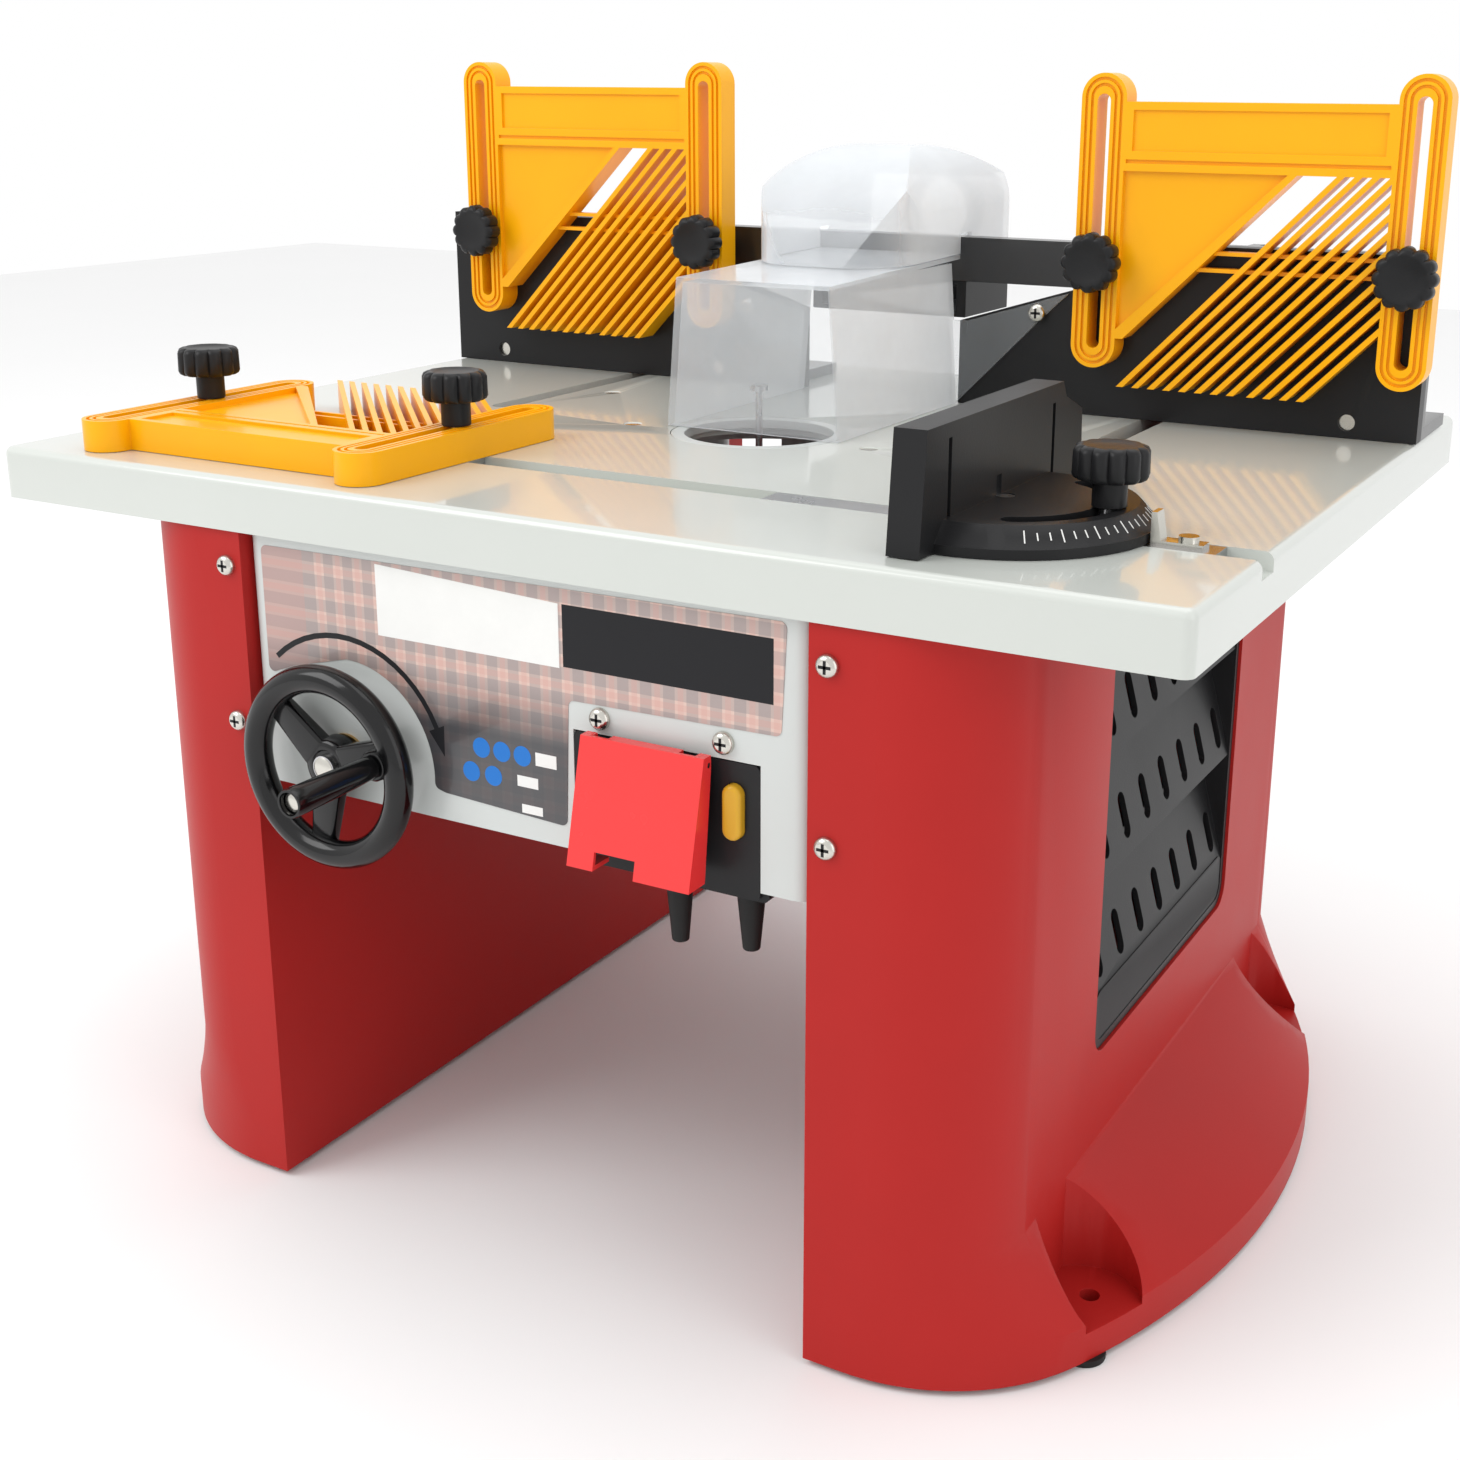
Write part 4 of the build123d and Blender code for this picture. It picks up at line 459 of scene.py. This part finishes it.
# ------------------------------------------------------------------ stage
def area_light(name, place, target, size, power, tint=(1.0, 1.0, 1.0)):
    lamp = bpy.data.lights.new(name, "AREA")
    lamp.shape = "RECTANGLE"
    lamp.size, lamp.size_y = size
    lamp.energy = power
    lamp.color = tint
    holder = bpy.data.objects.new(name, lamp)
    holder.location = place
    holder.rotation_euler = (Vector(target) - Vector(place)).to_track_quat("-Z", "Y").to_euler()
    bpy.context.scene.collection.objects.link(holder)


class ROUTERTABLE_OT_stage(bpy.types.Operator):
    """Floor, soft studio lights and the camera"""
    bl_idname = "router_table.stage"
    bl_label = "Build the stage"

    def execute(self, context):
        sizes = context.scene.router_table_sizes
        bm = bmesh.new()
        bmesh.ops.create_grid(bm, x_segments=1, y_segments=1, size=sizes.floor / 2)
        floor = finish_mesh(bm, "studio_floor", smooth=False)
        shader = Shader("studio_floor")
        shader.drift((0.90, 0.90, 0.90), 0.02, 2.0, 0.75, 0.05)
        shader.set("Specular IOR Level", 0.1)
        floor.data.materials.append(shader.material)

        world = bpy.data.worlds.new("studio")
        world.use_nodes = True
        world.node_tree.nodes["Background"].inputs["Color"].default_value = (1.0, 1.0, 1.0, 1.0)
        world.node_tree.nodes["Background"].inputs["Strength"].default_value = 1.0
        context.scene.world = world
        context.scene.view_settings.view_transform = "Standard"

        middle = (0.0, 0.0, 0.28)
        area_light("key_light", (-1.3, -1.5, 1.9), middle, (1.4, 1.4), 22.0)
        area_light("top_light", (0.2, 0.3, 2.3), middle, (1.8, 1.8), 12.0)
        area_light("side_light", (1.9, -0.6, 0.9), middle, (1.0, 1.6), 4.0)

        lens = bpy.data.cameras.new("studio_camera")
        lens.sensor_width = 36.0
        lens.lens = 47.0
        lens.shift_x = -0.0375
        lens.shift_y = -0.0681
        lens.clip_end = 30.0
        camera = bpy.data.objects.new("studio_camera", lens)
        camera.location = (0.48005, -0.84205, 0.53184)
        camera.rotation_euler = (radians(90.0 - 16.18), radians(-0.26), radians(29.19))
        context.scene.collection.objects.link(camera)
        context.scene.camera = camera
        return {"FINISHED"}


# ------------------------------------------------------------------ carried-over nodes
class ROUTERTABLE_OT_finishes(bpy.types.Operator):
    """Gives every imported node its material"""
    bl_idname = "router_table.finishes"
    bl_label = "Finish the packed nodes"

    def execute(self, context):
        for node, holder in frame["nodes"].items():
            holder.data.materials.clear()
            holder.data.materials.append(material_for(NODE_SLOT[node]))
        return {"FINISHED"}


# ------------------------------------------------------------------ rounded mouldings
ROUNDED = {
    "table_top": 0.0012, "insert_ring": 0.0005, "left_facing": 0.0008, "right_facing": 0.0008,
    "left_featherboard": 0.0005, "right_featherboard": 0.0005, "table_featherboard": 0.0005,
    "fence_beam": 0.0006, "front_panel": 0.0003, "switch_body": 0.0005, "switch_flap": 0.0008,
    "gauge_body": 0.0007, "hood_base": 0.0006, "left_vent_grille": 0.0005,
    "right_vent_grille": 0.0005, "mitre_bar": 0.0003, "mitre_pointer": 0.0003,
    "left_leg": 0.0012, "right_leg": 0.0012, "guard": 0.0004, "cord_boots": 0.0006,
    "table_slide": 0.0003, "lift_frame": 0.0006, "motor_carriage": 0.0006, "collet_nut": 0.0004,
    "rubber_feet": 0.0005}


class ROUTERTABLE_OT_mouldings(bpy.types.Operator):
    """Rounds the edges of the mouldings and castings, as tools and moulds leave them"""
    bl_idname = "router_table.mouldings"
    bl_label = "Round the mouldings"

    def execute(self, context):
        for node, width in ROUNDED.items():
            bm = bmesh.new()
            bm.from_mesh(frame["nodes"][node].data)
            bmesh.ops.remove_doubles(bm, verts=bm.verts, dist=2e-6)
            bmesh.ops.dissolve_limit(bm, angle_limit=radians(0.5), verts=bm.verts, edges=bm.edges)
            mesh = bpy.data.meshes.new(node + "_rounded")
            bm.to_mesh(mesh)
            bm.free()
            for face in mesh.polygons:
                face.use_smooth = True
            mesh.set_sharp_from_angle(angle=radians(32))
            piece = bpy.data.objects.new(node + "_rounded", mesh)
            context.scene.collection.objects.link(piece)
            add_bevel(piece, width, angle=32.0)
            dress(piece, NODE_SLOT[node], body_holding(node), node)
        return {"FINISHED"}


# ------------------------------------------------------------------ handwheel and crank
RIM_TUBE = 6.5 * MM               # radius of the rim's round section
HUB_DEPTH = 11 * MM
SPOKE_ANGLES = (20.0, 140.0, 260.0)
SPOKE_REACH = (8 * MM, 38 * MM)   # inner and outer end, from the axis
SPOKE_WIDTH = (16.5 * MM, 12.5 * MM)
SPOKE_DEPTH = (8.0 * MM, 6.0 * MM)
SPOKE_BACK = 7.5 * MM             # from the hub's rear face to the spokes' middle
SPOKE_ROUNDING = 2.0 * MM
PIN_RADIUS = 3.0 * MM
GRIP_BORE = 3.06 * MM


class ROUTERTABLE_OT_handwheel(bpy.types.Operator):
    """Handwheel with a round rim, tapered spokes and a stepped hub"""
    bl_idname = "router_table.handwheel"
    bl_label = "Make the handwheel"

    def execute(self, context):
        low, high = (Vector(corner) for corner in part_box("handwheel"))
        middle = (low + high) / 2
        rim_radius = (high.x - low.x) / 2 - RIM_TUBE
        rim_y = low.y + RIM_TUBE
        axis = Vector((0, 1, 0))
        bm = bmesh.new()
        ring = bmesh.ops.create_circle(bm, segments=28, radius=RIM_TUBE)["verts"]
        bmesh.ops.rotate(bm, verts=ring, cent=(0, 0, 0), matrix=Matrix.Rotation(pi / 2, 3, "Y"))
        bmesh.ops.translate(bm, verts=ring, vec=(middle.x, rim_y, middle.z + rim_radius))
        edges = list({edge for vert in ring for edge in vert.link_edges})
        bmesh.ops.spin(bm, geom=ring + edges, cent=middle, axis=axis, dvec=(0, 0, 0),
                       angle=2 * pi, steps=96, use_merge=True, use_duplicate=False)
        # hub: a stepped, rounded boss with a shallow dish for the bolt
        rear = high.y
        face = rear - HUB_DEPTH
        outline = [(0, rear), (12 * MM, rear), (13 * MM, rear - 1 * MM), (13 * MM, face + 2.2 * MM),
                   (12.3 * MM, face + 0.8 * MM), (11 * MM, face), (8.4 * MM, face),
                   (7.6 * MM, face + 0.8 * MM), (0, face + 0.8 * MM)]
        spin_profile(bm, [Vector((middle.x + r, y, middle.z)) for r, y in outline], middle, axis)
        for angle in SPOKE_ANGLES:
            spoke = bmesh.ops.create_cube(bm, size=1.0)["verts"]
            for vert in spoke:
                end = 1 if vert.co.x > 0 else 0
                vert.co.x = SPOKE_REACH[end]
                vert.co.z *= SPOKE_WIDTH[end]
                vert.co.y *= SPOKE_DEPTH[end]
            edges = list({edge for vert in spoke for edge in vert.link_edges})
            bmesh.ops.bevel(bm, geom=edges, offset=SPOKE_ROUNDING, affect="EDGES", segments=4,
                            profile=0.5, material=-1, offset_type="OFFSET")
            moved = [vert for vert in bm.verts if abs(vert.co.x) < 0.0395 and abs(vert.co.z) < 0.02
                     and abs(vert.co.y) < 0.02]
            bmesh.ops.rotate(bm, verts=moved, cent=(0, 0, 0),
                             matrix=Matrix.Rotation(radians(-angle), 3, "Y"))
            bmesh.ops.translate(bm, verts=moved, vec=(middle.x, rear - SPOKE_BACK, middle.z))
        # boss that carries the crank pin
        pin = centre_of("crank_grip")
        outline = [(0, low.y), (6.2 * MM, low.y), (7 * MM, low.y + 1 * MM),
                   (7.6 * MM, low.y + 11 * MM), (0, low.y + 11 * MM)]
        spin_profile(bm, [Vector((pin.x + r, y, pin.z)) for r, y in outline], pin, axis, 32)
        wheel = finish_mesh(bm, "handwheel_casting", angle=40)
        dress(wheel, "gloss_black", "handwheel_body", "handwheel")

        grip_low, grip_high = (Vector(corner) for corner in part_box("crank_grip"))
        end, root = grip_low.y, grip_high.y
        outline = [(GRIP_BORE, root), (4.9 * MM, root), (5.3 * MM, root - 0.6 * MM),
                   (5.35 * MM, root - 4 * MM), (6.1 * MM, root - 26 * MM),
                   (6.45 * MM, end + 8 * MM), (6.55 * MM, end + 1.2 * MM), (6.2 * MM, end),
                   (5.2 * MM, end), (4.9 * MM, end + 0.6 * MM), (4.9 * MM, end + 4.5 * MM),
                   (GRIP_BORE, end + 4.5 * MM), (GRIP_BORE, root)]
        bm = bmesh.new()
        spin_profile(bm, [Vector((pin.x + r, y, pin.z)) for r, y in outline], pin, axis, 40)
        grip = finish_mesh(bm, "crank_grip_sleeve", angle=35)
        dress(grip, "gloss_black", "grip_body", "crank_grip")

        # plated bolt in the hub, crank pin with its head
        bm = bmesh.new()
        bolt_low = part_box("wheel_bolts")[0]
        outline = [(0, face - 3.2 * MM), (3.6 * MM, face - 3.2 * MM), (5.4 * MM, face - 2.2 * MM),
                   (6.0 * MM, face - 0.4 * MM), (6.0 * MM, face + 0.8 * MM), (0, face + 0.8 * MM)]
        spin_profile(bm, [Vector((middle.x + r, y, middle.z)) for r, y in outline], middle, axis, 36)
        tip = bolt_low[1]
        outline = [(0, tip), (3.0 * MM, tip), (4.2 * MM, tip + 0.6 * MM), (4.4 * MM, tip + 2 * MM),
                   (PIN_RADIUS, tip + 2 * MM), (PIN_RADIUS, low.y), (0, low.y)]
        spin_profile(bm, [Vector((pin.x + r, y, pin.z)) for r, y in outline], pin, axis, 32)
        bolts = finish_mesh(bm, "wheel_bolt_set", angle=30)
        dress(bolts, "zinc", "handwheel_body", "wheel_bolts")
        return {"FINISHED"}


# ------------------------------------------------------------------ lobed knobs
def lobed_knob(name, base, facing_axis, stem, head, radius):
    """Knob standing on base along an axis: stem, then a twelve-lobed head with rounded rims."""
    bm = bmesh.new()
    lobes = 12

    def ring(z, size, depth):
        verts = bmesh.ops.create_circle(bm, segments=lobes * 10, radius=1.0)["verts"]
        for vert in verts:
            turn = Vector((vert.co.x, vert.co.y, 0))
            angle = turn.angle(Vector((1, 0, 0)))
            wave = abs(cos(lobes * angle / 2)) ** 0.7
            vert.co = turn * (size - depth * (1.0 - wave))
            vert.co.z = z
        return [edge for edge in bm.edges if edge.verts[0] in set(verts) and edge.verts[1] in set(verts)]

    groove = 1.9 * MM
    stem_radius = 7.0 * MM
    rows = [(0.0, stem_radius - 0.5 * MM, 0.0), (0.5 * MM, stem_radius, 0.0),
            (stem - 0.8 * MM, stem_radius, 0.0), (stem, stem_radius + 1.4 * MM, 0.0),
            (stem + 0.1 * MM, radius - 2.2 * MM, groove * 0.5), (stem + 1.0 * MM, radius - 0.7 * MM, groove),
            (stem + 2.4 * MM, radius, groove), (stem + head - 2.6 * MM, radius - 0.2 * MM, groove),
            (stem + head - 1.0 * MM, radius - 1.0 * MM, groove),
            (stem + head - 0.2 * MM, radius - 2.6 * MM, groove * 0.6),
            (stem + head, radius - 4.2 * MM, 0.0), (stem + head - 0.7 * MM, radius - 6.0 * MM, 0.0),
            (stem + head - 0.9 * MM, 2.0 * MM, 0.0)]
    rings = [ring(*row) for row in rows]
    for lower, upper in zip(rings, rings[1:]):
        bmesh.ops.bridge_loops(bm, edges=lower + upper)
    bmesh.ops.contextual_create(bm, geom=rings[-1])
    bmesh.ops.contextual_create(bm, geom=rings[0])
    turn = Vector((0, 0, 1)).rotation_difference(facing_axis).to_matrix()
    bmesh.ops.rotate(bm, verts=bm.verts, cent=(0, 0, 0), matrix=turn)
    bmesh.ops.translate(bm, verts=bm.verts, vec=base)
    return finish_mesh(bm, name, angle=38)


class ROUTERTABLE_OT_knobs(bpy.types.Operator):
    """Nine lobed knobs: four on the fence face, two behind it, two on the table, one on the gauge"""
    bl_idname = "router_table.knobs"
    bl_label = "Make the knobs"

    def execute(self, context):
        plans = [(f"{side}_board_knob_{number}", (0, -1, 0), 3.0) for side in ("left", "right")
                 for number in (1, 2)]
        plans += [(f"{side}_clamp_knob", (0, 0, 1), 10.0) for side in ("left", "right")]
        plans += [(f"table_board_knob_{number}", (0, 0, 1), 12.0) for number in (1, 2)]
        plans += [("mitre_knob", (0, 0, 1), 11.0)]
        for node, direction, stem in plans:
            low, high = (Vector(corner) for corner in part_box(node))
            axis = Vector(direction)
            base = (low + high) / 2
            if axis.z > 0:
                base.z = low.z
                tall = high.z - low.z
            else:
                base.y = high.y
                tall = high.y - low.y
            knob = lobed_knob(node + "_lobed", base, axis, stem * MM, tall - stem * MM,
                              (high.x - low.x) / 2)
            dress(knob, "black_plastic", body_holding(node), node)
        return {"FINISHED"}


# ------------------------------------------------------------------ printed label
def plate(bm, corners, depth_y, thickness):
    """Flat plate facing the operator: corners are (x, z) in millimetres."""
    verts = [bm.verts.new((x * MM, depth_y, z * MM)) for x, z in corners]
    face = bm.faces.new(verts)
    made = bmesh.ops.extrude_face_region(bm, geom=[face])
    moved = [item for item in made["geom"] if isinstance(item, bmesh.types.BMVert)]
    bmesh.ops.translate(bm, verts=moved, vec=(0, -thickness, 0))


def disc(bm, x, z, radius, depth_y, thickness):
    turn = Matrix.Translation((x * MM, depth_y - thickness / 2, z * MM)) @ Matrix.Rotation(pi / 2, 4, "X")
    bmesh.ops.create_cone(bm, segments=32, radius1=radius * MM, radius2=radius * MM, depth=thickness,
                          cap_ends=True, matrix=turn)


def arrow_band(bm, centre, radius, start, stop, depth_y, thickness):
    """Curved arrow drawn as a thin band round a centre, with its head at start; angles in degrees."""
    steps = 16
    half = 1.3
    head_half = 4.6
    head_angle = 13.0
    edges = []
    for side in (1, -1):
        arc = []
        for step in range(steps + 1):
            angle = radians(start + (stop - start) * step / steps)
            reach = radius + side * half
            arc.append((centre[0] + reach * cos(angle), centre[1] + reach * sin(angle)))
        edges.append(arc)
    middle = radians(start)
    tip = radians(start - head_angle)
    head = [(centre[0] + (radius - head_half) * cos(middle), centre[1] + (radius - head_half) * sin(middle)),
            (centre[0] + radius * cos(tip), centre[1] + radius * sin(tip)),
            (centre[0] + (radius + head_half) * cos(middle), centre[1] + (radius + head_half) * sin(middle))]
    plate(bm, edges[0] + edges[1][::-1] + head, depth_y, thickness)


class ROUTERTABLE_OT_label(bpy.types.Operator):
    """Plain printed shapes on the front label"""
    bl_idname = "router_table.label"
    bl_label = "Print the label"

    def execute(self, context):
        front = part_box("front_label")[0][1]
        ink = 0.08 * MM
        shapes = [
            ("label_white_patch", "ink_white", [[(-71, 326.5), (27, 322), (27, 294), (-71, 294)]]),
            ("label_black_patch", "ink_black", [[(29, 322), (130, 322), (130, 294.8), (29, 294.8)]]),
            ("label_small_patches", "ink_white",
             [[(13, 254), (24, 254), (24, 248), (13, 248)], [(3, 242), (14, 242), (14, 237), (3, 237)],
              [(5, 229), (16, 229), (16, 225), (5, 225)]])]
        for name, tone, outlines in shapes:
            bm = bmesh.new()
            for outline in outlines:
                plate(bm, outline, front, ink)
            patch = finish_mesh(bm, name, smooth=False)
            patch.data.materials.append(material_for(tone))
            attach(patch, "frame")
        bm = bmesh.new()
        for x, z in ((-16, 251), (-5, 251), (6, 251), (-22, 239), (-10, 239)):
            disc(bm, x, z, 4.6, front, ink)
        discs = finish_mesh(bm, "label_blue_discs", angle=30)
        discs.data.materials.append(material_for("ink_blue"))
        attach(discs, "frame")
        bm = bmesh.new()
        wheel = centre_of("handwheel")
        arrow_band(bm, (wheel.x / MM, wheel.z / MM), 58.0, 24.0, 132.0, front, ink)
        arrow = finish_mesh(bm, "label_arrow", smooth=False)
        arrow.data.materials.append(material_for("ink_black"))
        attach(arrow, "frame")
        return {"FINISHED"}


# ------------------------------------------------------------------ gauge scale
GAUGE_RADIUS = 62.0 * MM
RIM_SLOPE = 46.8                  # degrees, of the protractor's bevelled rim
MARK_INSET = 4.3 * MM
MARK_HEIGHT = 8.05 * MM
LONG_MARK = 5.6 * MM
SHORT_MARK = 3.4 * MM


class ROUTERTABLE_OT_gauge_scale(bpy.types.Operator):
    """Raised degree marks round the protractor's bevelled rim"""
    bl_idname = "router_table.gauge_scale"
    bl_label = "Mark the gauge"

    def execute(self, context):
        low, high = (Vector(corner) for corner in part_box("gauge_body"))
        pivot = Vector((high.x - GAUGE_RADIUS, centre_of("mitre_knob").y, low.z))
        bm = bmesh.new()
        for mark in range(-60, 61, 5):
            reach = LONG_MARK if mark % 15 == 0 else SHORT_MARK
            tick = bmesh.ops.create_cube(bm, size=1.0)["verts"]
            bmesh.ops.scale(bm, verts=tick, vec=(reach, 0.5 * MM, 0.25 * MM))
            slope = Matrix.Rotation(radians(RIM_SLOPE), 3, "Y")
            bmesh.ops.rotate(bm, verts=tick, cent=(0, 0, 0), matrix=slope)
            bmesh.ops.translate(bm, verts=tick, vec=(GAUGE_RADIUS - MARK_INSET, 0, MARK_HEIGHT))
            bmesh.ops.rotate(bm, verts=tick, cent=(0, 0, 0),
                             matrix=Matrix.Rotation(radians(mark), 3, "Z"))
            bmesh.ops.translate(bm, verts=tick, vec=pivot)
        marks = finish_mesh(bm, "gauge_degree_marks", merge=False, smooth=False)
        marks.data.materials.append(material_for("ink_white"))
        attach(marks, "gauge_head_body")
        return {"FINISHED"}


# ------------------------------------------------------------------ screw heads
HEAD_RADIUS = 4.95 * MM
HEAD_HEIGHT = 3.25 * MM
LEG_SCREW_X = 156                 # millimetres, as are the next three
LEG_SCREW_Z = (316, 241)
SWITCH_SCREWS = ((47, 275), (107, 275))
GUARD_SCREWS = ((-84, 404), (96, 411))
WING_THICKNESS = 2 * MM


def cross_head(bm_screw, bm_cross_shade, place, outward, radius, height):
    """Domed screw head on a face. The second mesh gets flat black bars of painted shade where the cross
    recess is.
    """
    turn = Vector((0, 0, 1)).rotation_difference(outward).to_matrix().to_4x4()
    move = Matrix.Translation(place) @ turn
    outline = [(0, height), (radius * 0.45, height * 0.97), (radius * 0.75, height * 0.78),
               (radius * 0.94, height * 0.42), (radius, 0.0)]
    start = set(bm_screw.verts)
    spin_profile(bm_screw, [Vector((r, 0, z)) for r, z in outline], (0, 0, 0), (0, 0, 1), 28)
    fresh = [vert for vert in bm_screw.verts if vert not in start]
    bmesh.ops.transform(bm_screw, matrix=move, verts=fresh)
    # painted shade: the recess is not cut; two thin black bars on the dome stand where it would be
    for along in (0, 1):
        bar = bmesh.ops.create_cube(bm_cross_shade, size=1.0)["verts"]
        long, wide = radius * 1.1, radius * 0.26
        size = (long, wide, 0.3 * MM) if along else (wide, long, 0.3 * MM)
        bmesh.ops.scale(bm_cross_shade, verts=bar, vec=size)
        bmesh.ops.translate(bm_cross_shade, verts=bar, vec=(0, 0, height - 0.12 * MM))
        bmesh.ops.transform(bm_cross_shade, matrix=move, verts=bar)


class ROUTERTABLE_OT_screw_heads(bpy.types.Operator):
    """Visible screw heads, with black bars of painted shade where their cross recesses are"""
    bl_idname = "router_table.screw_heads"
    bl_label = "Detail the screws"

    def execute(self, context):
        leg_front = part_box("left_leg")[0][1]
        leg_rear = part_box("left_leg")[1][1]
        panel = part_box("front_panel")[0][1]
        sets = {"frame": [], "fence_body": []}
        for x in (-LEG_SCREW_X, LEG_SCREW_X):
            for z in LEG_SCREW_Z:
                sets["frame"].append(((x * MM, leg_front, z * MM), (0, -1, 0)))
                sets["frame"].append(((x * MM, leg_rear, z * MM), (0, 1, 0)))
        for x, z in SWITCH_SCREWS:
            sets["frame"].append(((x * MM, panel, z * MM), (0, -1, 0)))
        facing_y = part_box("left_facing")[0][1]
        for x, z in GUARD_SCREWS:
            sets["fence_body"].append(((x * MM, facing_y - WING_THICKNESS, z * MM), (0, -1, 0)))
        for body, places in sets.items():
            heads = bmesh.new()
            cross_shades = bmesh.new()
            for place, outward in places:
                cross_head(heads, cross_shades, Vector(place), Vector(outward),
                           HEAD_RADIUS, HEAD_HEIGHT)
            # the black crosses are painted shade for the recesses, not the screws' own colour
            kinds = ((heads, "screw_heads", "zinc"), (cross_shades, "recess_painted_shade", "black_plastic"))
            for bm, name, slot in kinds:
                piece = finish_mesh(bm, f"{body}_{name}", angle=30)
                dress(piece, slot, body)
        return {"FINISHED"}


OPERATORS = [ROUTERTABLE_OT_stage, ROUTERTABLE_OT_finishes, ROUTERTABLE_OT_mouldings,
             ROUTERTABLE_OT_handwheel, ROUTERTABLE_OT_knobs, ROUTERTABLE_OT_label,
             ROUTERTABLE_OT_gauge_scale, ROUTERTABLE_OT_screw_heads]


class ROUTERTABLE_PT_panel(bpy.types.Panel):
    """Sidebar panel that lists the operators"""
    bl_idname = "ROUTERTABLE_PT_panel"
    bl_label = "Router Table"
    bl_space_type = "VIEW_3D"
    bl_region_type = "UI"
    bl_category = "Router Table"

    def draw(self, context):
        for operator in OPERATORS:
            self.layout.operator(operator.bl_idname)
        for group in (context.scene.router_table_colours, context.scene.router_table_sizes):
            for name in group.__annotations__:
                self.layout.prop(group, name)


CLASSES = [RouterTableColours, RouterTableSizes, *OPERATORS, ROUTERTABLE_PT_panel]


def register():
    for item in CLASSES:
        bpy.utils.register_class(item)
    bpy.types.Scene.router_table_colours = PointerProperty(type=RouterTableColours)
    bpy.types.Scene.router_table_sizes = PointerProperty(type=RouterTableSizes)


def unregister():
    del bpy.types.Scene.router_table_sizes
    del bpy.types.Scene.router_table_colours
    for item in reversed(CLASSES):
        bpy.utils.unregister_class(item)


def main():
    register()
    for operator in OPERATORS:
        group, name = operator.bl_idname.split(".")
        getattr(getattr(bpy.ops, group), name)()


if __name__ == "__main__":
    main()
